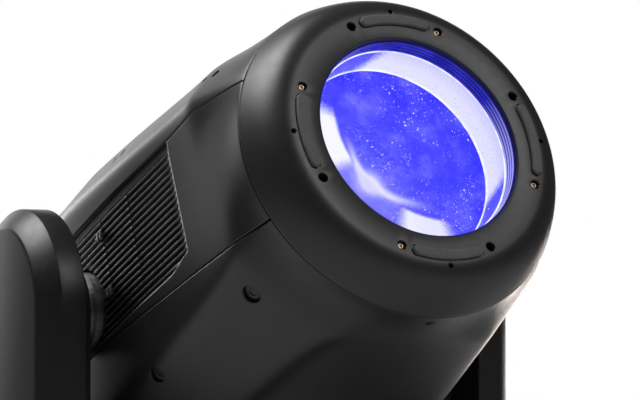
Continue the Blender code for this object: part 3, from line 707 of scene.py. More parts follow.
holes = []
screw_places = []
for quarter in (0, 90, 180, 270):
    recess = arc_outline(PAD_RADIUS, 5.0, quarter, 18.3)
    holes.append(prism_mesh("recess", [recess], FRONT - 1.3, FRONT + 2))
    for offset, radius, depth, distance in ((22.5, 3.9, 12.0, PAD_RADIUS), (-22.5, 3.7, 4.6, PAD_RADIUS),
                                            (0.0, 2.0, 5.0, 116.0)):
        a = math.radians(quarter + offset)
        x, y = distance * math.cos(a), distance * math.sin(a)
        low = FRONT - depth if offset else FRONT - 6.0
        face = FRONT if offset else FRONT - 0.3
        bore = [(0, FRONT + 3), (radius + 3.6, FRONT + 3), (radius + 0.6, face), (radius, face - 0.7),
                (radius, low), (0, low)]
        holes.append(transformed(turned_mesh("bore", bore, 32, 0, False), at(x, y, 0)))
        if offset < 0:
            screw_places.append(at(x, y, FRONT - 4.4))
carve(bezel, [merged("bezel_holes", holes)])

for label, quarter in (("right", 0), ("top", 90), ("left", 180), ("bottom", 270)):
    outline = arc_outline(PAD_RADIUS, 4.3, quarter, 17.5)
    piece(f"bumper_{label}_pad", prism_mesh("pad", [outline], FRONT - 1.2, FRONT + 3.3, chamfer=1.5, segments=4),
          RUBBER, "head", [f"bumper_{label}"], HEAD_PLACE, 50)


def cap_screw(radius, height, key):
    """A socket head: a rounded disc with a six-sided recess, standing on local z 0."""
    outline = circle(radius, 28)
    key_loop = circle(key, 6)
    cap = prism_mesh("cap", [outline, key_loop], 0, height, chamfer=min(0.35, radius * 0.12))
    floor = drum_mesh("floor", radius * 0.9, 0, height * 0.4, 28)
    return merged("screw", [cap, floor])


screw = cap_screw(2.5, 2.2, 1.2)
piece("bezel_screws", merged("bezel_screws", [transformed(screw, place) for place in screw_places]), BRONZE,
      "head", place=HEAD_PLACE)

# ---------------------------------------------------------------- lens

LENS_RADIUS = 88.3
GLASS_AT = 18.0  # behind the front face
TUBE_END = 50.0


def angle_from(n, coords, degrees):
    """1 where a point lies in this direction from the optical axis, falling to -1 opposite."""
    xyz = n.add("ShaderNodeSeparateXYZ")
    n.link(coords, xyz.inputs[0])
    turn = math.radians(degrees)
    along = n.maths("ADD", n.maths("MULTIPLY", xyz.outputs[0], math.cos(turn) / (LENS_RADIUS * MM)),
                    n.maths("MULTIPLY", xyz.outputs[1], math.sin(turn) / (LENS_RADIUS * MM)))
    return along, xyz


def dots(n, coords, scale, size, low, cover, share=0.5):
    """Round specks on a plane: about one a cell, in patches."""
    cells = n.add("ShaderNodeTexVoronoi")
    cells.inputs["Scale"].default_value = scale
    n.link(coords, cells.inputs["Vector"])
    pick = n.add("ShaderNodeSeparateColor")
    n.link(cells.outputs["Color"], pick.inputs[0])
    wide = n.maths("MULTIPLY_ADD", pick.outputs[1], size * 0.7, size * 0.45)
    dot = n.maths("SUBTRACT", 1.0, n.maths("DIVIDE", cells.outputs["Distance"], wide))
    dot = n.maths("MINIMUM", n.maths("MAXIMUM", n.maths("MULTIPLY", dot, 2.2), 0.0), 1.0)
    dot = n.maths("MULTIPLY", dot, n.maths("GREATER_THAN", pick.outputs[0], 1 - share))
    return n.maths("MULTIPLY", dot, n.map(cover, low, low + 0.14, 0.0, 1.0))


# The lens ring's look is painted light: emission gives it a striped blue glow from the beam, and a pale painted
# reflection on the side facing -35 degrees from the axis, in base colour and emission alike.
n = Nodes("lens_ring_painted_glow_look")
coords = n.coords()
along, xyz = angle_from(n, coords, -35.0)
pale = n.map(along, 0.45, 0.95, 0.0, 1.0)
stripe = n.noise(70.0, 2.0, 0.5, coords)
blue = n.ramp(stripe, [(0.3, (0.018, 0.018, 0.36)), (0.7, (0.045, 0.045, 0.62))])
n.link(n.mix(pale, blue, (0.40, 0.40, 0.47)), n.shader.inputs["Emission Color"])
n.shader.inputs["Emission Strength"].default_value = 0.75
n.link(n.mix(pale, (0.02, 0.02, 0.10), (0.5, 0.5, 0.52)), n.shader.inputs["Base Color"])
n.link(n.map(stripe, 0.3, 0.7, 0.22, 0.34), n.shader.inputs["Roughness"])
n.shader.inputs["Metallic"].default_value = 0.7
RING = n.material
# The ring's grooves glow dark blue: painted blue light from the beam, given as emission.
n = Nodes("ring_groove_painted_glow_look")
n.link(n.ramp(n.noise(60.0), [(0.3, (0.004, 0.004, 0.045)), (0.7, (0.008, 0.008, 0.11))]),
       n.shader.inputs["Emission Color"])
n.shader.inputs["Emission Strength"].default_value = 1.0
n.shader.inputs["Base Color"].default_value = (0.01, 0.01, 0.03, 1)
n.shader.inputs["Roughness"].default_value = 0.4
GROOVE_GLOW_LOOK = n.material

ring_profile = [(LENS_RADIUS + 0.5, FRONT - 2.8), (LENS_RADIUS + 0.5, FRONT - 6.6), (111.8, FRONT - 6.6)]
ring_profile += [(111.8, FRONT - 10), (LENS_RADIUS + 2.6, FRONT - 12), (LENS_RADIUS + 2.6, FRONT - TUBE_END - 8)]
ring_profile += [(LENS_RADIUS + 0.6, FRONT - TUBE_END - 8), (LENS_RADIUS + 0.6, FRONT - GLASS_AT)]
depth = GLASS_AT - 0.4
while depth > 5.0:
    ring_profile += [(LENS_RADIUS, FRONT - depth), (LENS_RADIUS, FRONT - depth + 2.5)]
    ring_profile += [(LENS_RADIUS + 1.1, FRONT - depth + 2.6), (LENS_RADIUS + 1.1, FRONT - depth + 3.5)]
    depth -= 3.6
lens_ring = piece("lens_ring_steps", turned_mesh("lens_ring", ring_profile, 192, 0), RING, "head", ["lens_ring"],
                  HEAD_PLACE, 30)
lens_ring.data.materials.append(GROOVE_GLOW_LOOK)
lens_ring.data.materials.append(BLACK)
for polygon in lens_ring.data.polygons:
    centre = polygon.center / MM
    radius = math.hypot(centre.x, centre.y)
    if radius > LENS_RADIUS + 2.2:
        polygon.material_index = 2
    elif radius > LENS_RADIUS + 0.45:
        polygon.material_index = 1


def lens_light():
    """Blue light inside the front tube: a deep blue field with soft dust, and a hot spot with two tails."""
    n = Nodes("blue_light_look")
    xyz = n.add("ShaderNodeSeparateXYZ")
    coords = n.coords()
    n.link(coords, xyz.inputs[0])
    x, y = xyz.outputs[0], xyz.outputs[1]
    clouds = n.noise(42.0, 5.0, 0.65, coords)
    blue = n.ramp(clouds, [(0.32, (0.022, 0.020, 0.70)), (0.50, (0.040, 0.037, 0.82)), (0.70, (0.095, 0.09, 0.93))])

    def near(cx, cy, sx, sy, turn):
        """A soft blob at (cx, cy) in millimetres, long in one direction."""
        c, s = math.cos(math.radians(turn)), math.sin(math.radians(turn))
        dx = n.maths("SUBTRACT", x, cx * MM)
        dy = n.maths("SUBTRACT", y, cy * MM)
        u = n.maths("ADD", n.maths("MULTIPLY", dx, c / (sx * MM)), n.maths("MULTIPLY", dy, s / (sx * MM)))
        v = n.maths("ADD", n.maths("MULTIPLY", dx, -s / (sy * MM)), n.maths("MULTIPLY", dy, c / (sy * MM)))
        q = n.maths("ADD", n.maths("MULTIPLY", u, u), n.maths("MULTIPLY", v, v))
        return n.maths("EXPONENT", n.maths("MULTIPLY", q, -1.0))

    blobs = ((-22.5, -16, 10, 9, 0, 1.3), (-28.0, -6, 12, 4.2, 112, 0.75), (-31.5, 10, 13, 3.2, 98, 0.42),
             (-9, -25, 14, 4.5, -30, 0.75), (8, -31, 15, 3.6, -14, 0.45), (-20, -14, 26, 22, 0, 0.10),
             (-30, 2, 10, 3, 104, 0.2))
    glow = 0.0
    for cx, cy, sx, sy, turn, amount in blobs:
        glow = n.maths("ADD", n.maths("MULTIPLY", near(cx, cy, sx, sy, turn), amount), glow)
    cover = n.noise(30.0, 2.0, 0.6, coords)
    soft = dots(n, coords, 150.0, 0.22, 0.36, cover, 0.35)
    glow = n.maths("ADD", glow, n.maths("MULTIPLY", soft, 0.22))
    glow = n.maths("MINIMUM", glow, 1.0)
    n.link(n.mix(glow, blue, (0.80, 0.80, 1.0)), n.shader.inputs["Emission Color"])
    n.shader.inputs["Emission Strength"].default_value = 1.0
    n.link(blue, n.shader.inputs["Base Color"])
    n.shader.inputs["Roughness"].default_value = 0.3
    n.shader.inputs["Specular IOR Level"].default_value = 0.1
    return n.material


def dust_glass():
    """Clear front glass with dust, its shine painted as emission; the two pale crescents it mirrors from its rim and
    a glint along its lower rim are painted reflections.
    """
    n = Nodes("front_glass_look")
    coords = n.coords()
    cover = n.noise(24.0, 3.0, 0.6, coords)
    grain = n.noise(900.0, 2.0, 0.8, coords)
    total = n.maths("MAXIMUM", dots(n, coords, 520.0, 0.28, 0.42, cover, 0.30),
                    n.maths("MULTIPLY", dots(n, coords, 260.0, 0.24, 0.42, cover, 0.30), 0.95))
    fine = n.noise(60.0, 3.0, 0.7, coords)
    total = n.maths("MAXIMUM", total, n.maths("MULTIPLY", dots(n, coords, 1000.0, 0.30, 0.44, fine, 0.6), 0.8))
    xyz = n.add("ShaderNodeSeparateXYZ")
    n.link(coords, xyz.inputs[0])
    dx = n.maths("SUBTRACT", xyz.outputs[0], 22.0 * MM)
    dy = n.maths("SUBTRACT", xyz.outputs[1], 19.0 * MM)
    reach = n.maths("SQRT", n.maths("ADD", n.maths("MULTIPLY", dx, dx), n.maths("MULTIPLY", dy, dy)))
    rim = n.map(n.maths("MULTIPLY_ADD", grain, 4.0 * MM, reach), 86.5 * MM, 90.0 * MM, 0.0, 1.0)
    # Painted reflections: two pale crescents mirrored from the rim, and below, a glint along the lower rim.
    crescent_reflection = None
    ragged = n.maths("MULTIPLY_ADD", grain, 0.22, n.maths("MULTIPLY", cover, 0.05))
    for middle, wide in ((177.0, 21.0), (267.0, 18.0)):
        along, _ = angle_from(n, coords, middle)
        across, _ = angle_from(n, coords, middle + 90.0)
        turn = n.maths("ABSOLUTE", n.maths("DIVIDE", across, n.maths("MAXIMUM", along, 0.05)))
        edge = math.tan(math.radians(wide))
        one = n.map(n.maths("ADD", turn, ragged), edge + 0.02, edge + 0.22, 1.0, 0.0)
        crescent_reflection = one if crescent_reflection is None else n.maths("MAXIMUM", crescent_reflection, one)
    lower, _ = angle_from(n, coords, 222.0)
    ring = n.maths("MULTIPLY", rim, n.map(lower, 0.2, 0.6, 0.0, 1.0))
    sparkle = n.maths("GREATER_THAN", grain, 0.60)
    rim_glint = n.maths("MULTIPLY", ring, n.maths("MULTIPLY_ADD", sparkle, 0.45, 0.12))
    crescent_reflection = n.maths("MULTIPLY", n.maths("MULTIPLY", crescent_reflection, rim), 0.86)
    total = n.maths("MINIMUM", n.maths("MAXIMUM", n.maths("MAXIMUM", total, rim_glint), crescent_reflection), 1.0)
    n.link(n.map(total, 0.0, 1.0, 0.03, 0.96), n.shader.inputs["Alpha"])
    n.link(n.mix(total, (0.01, 0.01, 0.03), (0.3, 0.3, 0.4)), n.shader.inputs["Base Color"])
    n.link(n.mix(total, (0.0, 0.0, 0.0), (0.78, 0.78, 1.0)), n.shader.inputs["Emission Color"])
    n.shader.inputs["Emission Strength"].default_value = 1.0
    n.link(n.map(grain, 0.3, 0.7, 0.04, 0.12), n.shader.inputs["Roughness"])
    return n.material


def tube_light():
    """The lit wall of the tube behind the glass: pale on one side, blue with bright dust elsewhere."""
    n = Nodes("tube_light_look")
    coords = n.coords()
    along, xyz = angle_from(n, coords, 38.0)
    grain = n.noise(700.0, 3.0, 0.8, coords)
    deep = n.map(xyz.outputs[2], (FRONT - TUBE_END) * MM, (FRONT - GLASS_AT) * MM, 0.0, 1.0)
    side = n.maths("ADD", n.map(along, 0.38, 0.86, 0.0, 1.0), n.maths("MULTIPLY", deep, -0.22))
    pale = n.map(n.maths("ADD", side, n.maths("MULTIPLY", grain, 0.55)), 0.38, 0.62, 0.0, 1.0)
    soft = n.ramp(deep, [(0.0, (0.80, 0.80, 1.0)), (0.5, (0.77, 0.77, 1.0)), (1.0, (0.60, 0.60, 1.0))])
    speck = n.maths("GREATER_THAN", grain, 0.63)
    blue = n.mix(n.maths("MULTIPLY", speck, 0.7), (0.055, 0.052, 0.80), (0.7, 0.7, 1.0))
    n.link(n.mix(pale, blue, soft), n.shader.inputs["Emission Color"])
    n.shader.inputs["Emission Strength"].default_value = 1.0
    n.shader.inputs["Base Color"].default_value = (0.2, 0.2, 0.6, 1)
    n.shader.inputs["Roughness"].default_value = 0.4
    return n.material


R = LENS_RADIUS
dish = [(0, FRONT - 56), (30, FRONT - 55.6), (55, FRONT - 54.4), (75, FRONT - 52.2), (R - 0.3, FRONT - TUBE_END)]
dish += [(R - 0.3, FRONT - TUBE_END - 2), (0, FRONT - 60)]
piece("inner_lens", turned_mesh("inner_lens", dish, 160, 0, False), lens_light(), "head",
      place=HEAD_PLACE, angle=20)
back_plate = [(0, FRONT - 60.5), (R + 2.5, FRONT - 60.5), (R + 2.5, FRONT - 62), (0, FRONT - 62)]
piece("lens_back_stop", turned_mesh("back_plate", back_plate, 96, 0, False), BLACK, "head",
      place=HEAD_PLACE)
wall = [(R - 0.1, FRONT - GLASS_AT - 0.8), (R + 0.3, FRONT - GLASS_AT - 0.8), (R + 0.3, FRONT - TUBE_END - 2)]
wall += [(R - 0.1, FRONT - TUBE_END - 2)]
piece("inner_tube", turned_mesh("inner_tube", wall, 160, 0), tube_light(), "head",
      place=HEAD_PLACE)
# The lens rim beads glow bluish white: a painted glint on the glass edge, given as emission.
n = Nodes("lens_rim_glint_look")
n.shader.inputs["Base Color"].default_value = (0.5, 0.5, 0.9, 1)
n.link(n.ramp(n.noise(90.0, 2.0), [(0.35, (0.60, 0.60, 1.0)), (0.6, (0.95, 0.95, 1.0))]),
       n.shader.inputs["Emission Color"])
n.shader.inputs["Emission Strength"].default_value = 1.0
RIM_GLINT = n.material


def bead_mesh(radius, depth, wire):
    turn = np.arange(10) * math.tau / 10
    profile = [(radius + wire * math.cos(a), FRONT - depth + wire * math.sin(a)) for a in turn]
    return turned_mesh("bead", profile, 192, 0)


beads = [bead_mesh(R - 0.3, GLASS_AT + 0.4, 0.55), bead_mesh(R - 0.5, TUBE_END - 0.2, 0.65)]
piece("lens_rim", merged("lens_rim", beads),
      RIM_GLINT, "head", place=HEAD_PLACE)
glass_front, glass_back = FRONT - GLASS_AT, FRONT - GLASS_AT - 0.5
glass = [(0, glass_front), (R - 0.5, glass_front), (R - 0.5, glass_back), (0, glass_back)]
piece("front_glass", turned_mesh("front_glass", glass, 160, 0, False), dust_glass(), "head", ["front_lens"],
      HEAD_PLACE, 30)

# ---------------------------------------------------------------- screws on the covers


def deep_screw(target, angle, s, radius=4.4, depth=2.4):
    place = skin_place(angle, s)
    depth = max(depth, radius * 0.55)
    bore = [(0, 6), (radius + 5.4, 6), (radius + 1.0, 0.1), (radius, -0.9), (radius - 0.4, -depth), (0, -depth)]
    mesh = transformed(turned_mesh("bore", bore, 28, 0, False), place)
    return mesh, place @ at(0, 0, -depth)


def screws_on(target, spots, name):
    cutters = []
    places = []
    for angle, s, radius in spots:
        mesh, place = deep_screw(target, angle, s, radius)
        cutters.append(mesh)
        places.append((place, radius))
    carve(target, [merged("bores", cutters)])
    heads = [transformed(cap_screw(radius - 0.5, 1.3, radius * 0.42), place) for place, radius in places]
    piece(name, merged(name, heads), DARK_SCREW, "head", place=HEAD_PLACE)


upper_spots = []
for angle in (180 - 40, 40):
    upper_spots += [(angle, 92, 3.6), (angle, 107, 2.6), (angle, 255, 3.6), (angle, 270, 2.6), (angle, 480, 3.6)]
screws_on(upper, upper_spots, "upper_cover_screws")
lower_spots = [(180 + 37.1, 100.6, 7.6), (180 + 34.4, 247.0, 7.6), (-37.1, 100.6, 7.6), (-34.4, 247.0, 7.6),
               (270, 49.5, 3.4), (180 + 38, 470, 4.6), (-38, 470, 4.6)]
screws_on(lower, [(a - 360 if a > 180 else a, s, r) for a, s, r in lower_spots], "lower_cover_screws")

# Clips on the louvres
clips = []
for side in (-1, 1):
    for w in (49.0, -3.0):
        for ds, height in ((0.0, 8.0), (5.2, 8.5)):
            s = 288.0 + ds
            x = side * (float(half_width(s)) - 0.6)
            clips.append(block_mesh("clip", (x - 1.6, w - height / 2, FRONT - s - 0.9),
                                    (x + 1.6, w + height / 2, FRONT - s + 0.9), 0.4))
        clips.append(block_mesh("clip", (x - 1.4, w - 1.2, FRONT - 297.4), (x + 1.2, w + 1.2, FRONT - 292.8), 0.3))
piece("louvre_clips", merged("louvre_clips", clips), CLIP, "head", place=HEAD_PLACE)

# ---------------------------------------------------------------- rear cap


def cap_ring(s, inward, scale, count=240):
    angles = np.arange(count) * 360.0 / count
    points = skin_point(angles, np.full(count, min(s, 545.0)), inward)
    points[:, :2] *= scale
    points[:, 2] = FRONT - s
    return points


def loft_mesh(name, rings):
    count = len(rings[0])
    points = np.concatenate(rings)
    faces = []
    for j in range(len(rings) - 1):
        for i in range(count):
            k = (i + 1) % count
            faces.append([j * count + i, j * count + k, (j + 1) * count + k, (j + 1) * count + i])
    faces.append(list(range(count)))
    faces.append([(len(rings) - 1) * count + i for i in range(count)])
    return from_arrays(name, points, faces)


REAR_S = FRONT + REAR
outer = [cap_ring(CAP_START + d, 0.8 - d * 0.4, 1.0) for d in (0.0, 0.8, 2.0)]
outer += [cap_ring(CAP_START + 10, 0, 1.0), cap_ring(CAP_START + 18, 0, 0.998)]
for t in np.linspace(0.1, 1.0, 9):
    s = CAP_START + 18 + (REAR_S - CAP_START - 18.6) * math.sin(t * math.pi / 2)
    outer.append(cap_ring(s, 0, 1.0 - 0.128 * (1 - math.cos(t * math.pi / 2)) ** 1.1))
inner = [cap_ring(CAP_START - 6, 4, 1.0), cap_ring(560, 4, 0.99), cap_ring(575, 4, 0.95)]
inner.append(cap_ring(REAR_S - 5, 4, 0.86))
cap = piece("rear_cap_shell", loft_mesh("cap", outer), BLACK, "head", ["rear_cap"], HEAD_PLACE)
cutters = [loft_mesh("cap_inside", inner)]
cutters.append(merged("vents", [drum_mesh("vent", 43, FRONT - REAR_S - 5, FRONT - REAR_S + 12, 96, at(x, 0, 0))
                                for x in (-56, 56)]))
carve(cap, cutters)
grille = []
for x in (-56, 56):
    for radius in (8, 14.5, 21, 27.5, 34, 40.5):
        wire = [(radius + 0.9 * math.cos(a), FRONT - REAR_S + 2.2 + 0.9 * math.sin(a))
                for a in np.arange(0, math.tau, math.tau / 8)]
        grille.append(transformed(turned_mesh("wire", wire, 96, 0), at(x, 0, 0)))
    for k in range(4):
        spoke = block_mesh("spoke", (-43.5, -1.0, FRONT - REAR_S + 3.2), (43.5, 1.0, FRONT - REAR_S + 4.6), 0.3,
                           place=at(x, 0, 0) @ Matrix.Rotation(math.radians(22.5 + 45 * k), 4, "Z"))
        grille.append(spoke)
piece("rear_fan_grilles", merged("grilles", grille), STEEL, "head", place=HEAD_PLACE)

# ---------------------------------------------------------------- yoke


def stadium(radius, bottom, foot=10.0, count=48):
    """An arm's outline in (y, z), with rounded lower corners."""
    points = []
    for i in range(7):
        a = math.pi + math.pi / 2 * i / 6
        points.append((-radius + foot + foot * math.cos(a), bottom + foot + foot * math.sin(a)))
    for i in range(7):
        a = -math.pi / 2 + math.pi / 2 * i / 6
        points.append((radius - foot + foot * math.cos(a), bottom + foot + foot * math.sin(a)))
    for i in range(count + 1):
        a = math.pi * i / count
        points.append((radius * math.cos(a), TILT_Z + radius * math.sin(a)))
    return points


def arm_ring(x, inset, bottom=160.0, radius=ARM_HALF_DEPTH):
    return np.array([(x, y, z) for y, z in stadium(radius - inset, bottom + inset)])


for label, side in (("left", -1), ("right", 1)):
    edge = ARM_OUTER - ARM_CHAMFER
    rings = [arm_ring(side * ARM_SPLIT, 0.8), arm_ring(side * (ARM_SPLIT + 0.8), 0.0)]
    rings += [arm_ring(side * (edge - 0.9), 0.0), arm_ring(side * (edge + 0.5), 0.5)]
    rings += [arm_ring(side * (ARM_OUTER - 1.3), 15.7), arm_ring(side * (ARM_OUTER - 0.35), 17.0)]
    rings += [arm_ring(side * ARM_OUTER, 18.8)]
    cover = piece(f"arm_cover_{label}_shell", loft_mesh("arm_cover", rings), CHARCOAL, "yoke",
                  [f"arm_cover_{label}"])
    inside = [arm_ring(side * (ARM_SPLIT + 3), 3), arm_ring(side * (edge - 1.2), 3)]
    inside.append(arm_ring(side * (ARM_OUTER - 3), 19))
    window = [arm_ring(side * x, 0, 222.0, 38.0) for x in (ARM_SPLIT - 5, ARM_SPLIT + 8)]
    carve(cover, [loft_mesh("inside", inside), loft_mesh("window", window)])
    # The cover's inner wall, facing the head, takes the black plastic: partly the arm's own black inside, partly
    # painted shade from the head.
    cover.data.materials.append(BLACK)
    for polygon in cover.data.polygons:
        if abs(polygon.center.x) < (ARM_SPLIT + 3.5) * MM and abs(polygon.normal.x) > 0.7:
            polygon.material_index = 1
    frame_rings = []
    for x, inset in ((168.0, 1.0), (169.0, 0.0), (191.9, 0.0), (192.7, 0.6)):
        post = [(y, z) for y, z in stadium(44.0 - inset, 216.0, 0.5)]
        foot = [(-80 + inset, 162 + inset), (80 - inset, 162 + inset), (80 - inset, 200 - inset)]
        outline = foot + post[7:] + post[:7]
        outline.append((-80 + inset, 200 - inset))
        frame_rings.append(np.array([(side * x, y, z) for y, z in outline]))
    inner_part = piece(f"arm_frame_{label}_body", loft_mesh("arm_frame", frame_rings), BLACK, "yoke",
                       [f"arm_frame_{label}"])
    near, far = sorted((side * 160.0, side * 200.0))
    carve(inner_part, [drum_mesh("bore", 30.7, near, far, 64, at(0, 0, TILT_Z) @ ALONG_X)])
    if side > 0:
        carve(inner_part, [block_mesh("bay", (172, -31, 249), (200, 31, 311))])

bridge = piece("yoke_bridge_shell", block_mesh("bridge", (-167.7, -80, 160), (167.7, 80, 204), 7.0, 5), CHARCOAL,
               "yoke", ["yoke_bridge"])
carve(bridge, [drum_mesh("cable_way", 34, 100, 150, 48), block_mesh("motor_bay", (62, -34, 150), (128, 34, 199))])
piece("pan_hub", turned_mesh("hub", [(55.3, 165), (55.3, 122), (36, 122), (36, 165)], 96, 0.6), ALUMINIUM, "yoke")
carve(bridge, [merged("seam", [
    block_mesh("groove", (-175, -85, 181.4), (175, -79.3, 182.2)),
    block_mesh("groove", (-175, 79.3, 181.4), (175, 85, 182.2))])])

# ---------------------------------------------------------------- base


def base_ring(x, y, cut_corner, z, inset=0.0):
    x, y = x - inset, y - inset
    c = cut_corner - inset * 0.59
    points = [(x, -y + c), (x, y - c), (x - c, y), (-x + c, y), (-x, y - c), (-x, -y + c), (-x + c, -y), (x - c, -y)]
    softened = round_profile(points, 9.0, 6)
    return np.array([(px, py, z) for px, py in softened])


rings = [base_ring(182, 170, 26, 6.3, 0.8), base_ring(182, 170, 26, 7.1), base_ring(182, 170, 26, 112)]
for t in np.linspace(0.15, 1, 6):
    a = t * math.radians(32.9)
    rings.append(base_ring(182 - 11 * (1 - math.cos(a)), 170 - 11 * (1 - math.cos(a)), 26, 112 + 11 * math.sin(a)))
rings += [base_ring(161.6, 149.6, 22, 149.2), base_ring(160.6, 148.6, 22, 151.0), base_ring(157.5, 145.5, 22, 152.0)]
base = piece("base_cover_shell", loft_mesh("base_cover", rings), CHARCOAL, "base", ["base_cover"])
room = [base_ring(178, 166, 25, 2), base_ring(178, 166, 25, 112), base_ring(157, 145, 21, 147.8)]
cuts = [loft_mesh("room", room), drum_mesh("hub_hole", 58, 140, 160, 96),
        block_mesh("socket_bay", (-100, 160, 30), (100, 175, 90))]
slots = []
for k in range(15):
    y = -63 + 9 * k
    for side in (-1, 1):
        slots.append(block_mesh("slot", (side * 180 - 6, y - 2, 36), (side * 180 + 6, y + 2, 66), 1.2, 2))
cuts.append(merged("side_vents", slots))
cuts.append(merged("seams", [block_mesh("groove", (-190, -190, 104), (190, -169.2, 104.8)),
                             block_mesh("groove", (-190, 169.2, 104), (190, 190, 104.8)),
                             block_mesh("groove", (-190, -190, 104), (-181.2, 190, 104.8)),
                             block_mesh("groove", (181.2, -190, 104), (190, 190, 104.8))]))
carve(base, cuts)

plate_outline = [(p[0], p[1]) for p in base_ring(182, 170, 26, 0)]
tray = merged("tray", [prism_mesh("tray", [plate_outline], 0.7, 6, chamfer=0.8), drum_mesh("pad", 45, 0, 3, 64)])
piece("base_plate_tray", tray, BLACK_METAL, "base",
      ["base_plate"])
for x_label, x in (("left", -148), ("right", 148)):
    for y_label, y in (("front", -132), ("rear", 132)):
        foot = [(0, 0.4), (20, 0.4), (20, -7), (17.5, -12), (8, -12), (7, -9), (0, -9)]
        piece(f"foot_{y_label}_{x_label}_pad", turned_mesh("foot", foot, 48, 0.8, False), FOOT_RUBBER, "base",
              [f"foot_{y_label}_{x_label}"], at(x, y, 0))
for label, x in (("left", -85), ("right", 85)):
    outline = [rounded(x - 20, -70, x + 20, 70, 8), circle(8, 24, x, -48), circle(8, 24, x, 48)]
    piece(f"quick_lock_{label}_plate", prism_mesh("lock", outline, -3.3, 0.4, chamfer=0.4), STEEL, "base",
          [f"quick_lock_{label}"])


def tube_mesh(name, path, radius, sides=20):
    """A round bar along a smooth path, with closed ends."""
    curve = bpy.data.curves.new(name, "CURVE")
    curve.dimensions = "3D"
    curve.bevel_depth = radius * MM
    curve.bevel_resolution = sides // 4
    curve.use_fill_caps = True
    spline = curve.splines.new("POLY")
    spline.points.add(len(path) - 1)
    for point, (x, y, z) in zip(spline.points, path):
        point.co = (x * MM, y * MM, z * MM, 1)
    guide = bpy.data.objects.new(name, curve)
    mesh = bpy.data.meshes.new_from_object(guide)
    bpy.data.objects.remove(guide, do_unlink=True)
    bm = bmesh.new()
    bm.from_mesh(mesh)
    bmesh.ops.remove_doubles(bm, verts=bm.verts[:], dist=0.000001)
    return mesh_of(name, bm)


for label, side in (("left", -1), ("right", 1)):
    path = [(side * 182.4, -66, 84)]
    for i in range(11):
        a = math.radians(9 * i)
        path.append((side * (208 + 14 * math.sin(a)), -52 - 14 * math.cos(a), 84))
    for i in range(11):
        a = math.radians(9 * i)
        path.append((side * (208 + 14 * math.cos(a)), 52 + 14 * math.sin(a), 84))
    path.append((side * 182.4, 66, 84))
    piece(f"handle_{label}_bar", tube_mesh("handle", path, 7.9), BLACK, "base", [f"handle_{label}"])
    collars = [turned_mesh("collar", [(7.9, 0), (13, 0), (13, 3), (10.5, 5), (7.9, 5)], 40, 0.8)]
    rings = [transformed(collars[0], at(side * 182.3, y, 84) @ Matrix.Rotation(side * math.radians(90), 4, "Y"))
             for y in (-66, 66)]
    piece(f"handle_{label}_collars", merged("collars", rings), BLACK, "base")

XZ_PLANE = Matrix(((1, 0, 0, 0), (0, 0, -1, 0), (0, 1, 0, 0), (0, 0, 0, 1)))
FACE = 170.3
holes = [rounded(-62, 42, 22, 96, 3), circle(5.6, 32, 50, 69)]
for x, z in ((50, 87), (50, 51), (34, 69), (66, 69)):
    holes.append(circle(4.6, 32, x, z))
piece("display_panel_face", prism_mesh("panel", [rounded(-78, 32, 84, 106, 8)] + holes, FACE, FACE + 4, XZ_PLANE,
                                       0.6), BLACK, "base", ["display_panel"])


def screen_look():
    """A dark display with a soft blue glow and plain bars."""
    n = Nodes("display_screen_look")
    xyz = n.add("ShaderNodeSeparateXYZ")
    n.link(n.coords(), xyz.inputs[0])
    rows = n.maths("FRACT", n.maths("MULTIPLY", xyz.outputs[2], 1 / 0.011))
    in_row = n.maths("LESS_THAN", rows, 0.42)
    inside = n.maths("LESS_THAN", n.maths("ABSOLUTE", n.maths("ADD", xyz.outputs[0], 0.030)), 0.024)
    bars = n.maths("MULTIPLY", in_row, inside)
    n.link(n.mix(bars, (0.004, 0.010, 0.030), (0.05, 0.16, 0.34)), n.shader.inputs["Emission Color"])
    n.shader.inputs["Emission Strength"].default_value = 0.8
    n.link(n.mix(n.noise(300.0), (0.004, 0.004, 0.006), (0.008, 0.009, 0.012)), n.shader.inputs["Base Color"])
    n.shader.inputs["Roughness"].default_value = 0.12
    return n.material


piece("display_screen_glass", prism_mesh("screen", [rounded(-61.6, 42.4, 21.6, 95.6, 2.7)], FACE, FACE + 3.2,
                                         XZ_PLANE, 0.3), screen_look(), "base", ["display_screen"])
for label, x, z, radius in (("enter", 50, 69, 5.2), ("up", 50, 87, 4.2), ("down", 50, 51, 4.2),
                            ("left", 34, 69, 4.2), ("right", 66, 69, 4.2)):
    top = [(0, 4.2), (radius * 0.5, 4.35), (radius - 0.1, 4.0), (radius, 3.4), (radius, 0), (0, 0)]
    piece(f"menu_button_{label}_cap", turned_mesh("button", top, 40, 0.3, False), BUTTON,
          f"menu_button_{label}_body", [f"menu_button_{label}"],
          at(x, -FACE - 2.1, z) @ Matrix.Rotation(math.radians(90), 4, "X"))

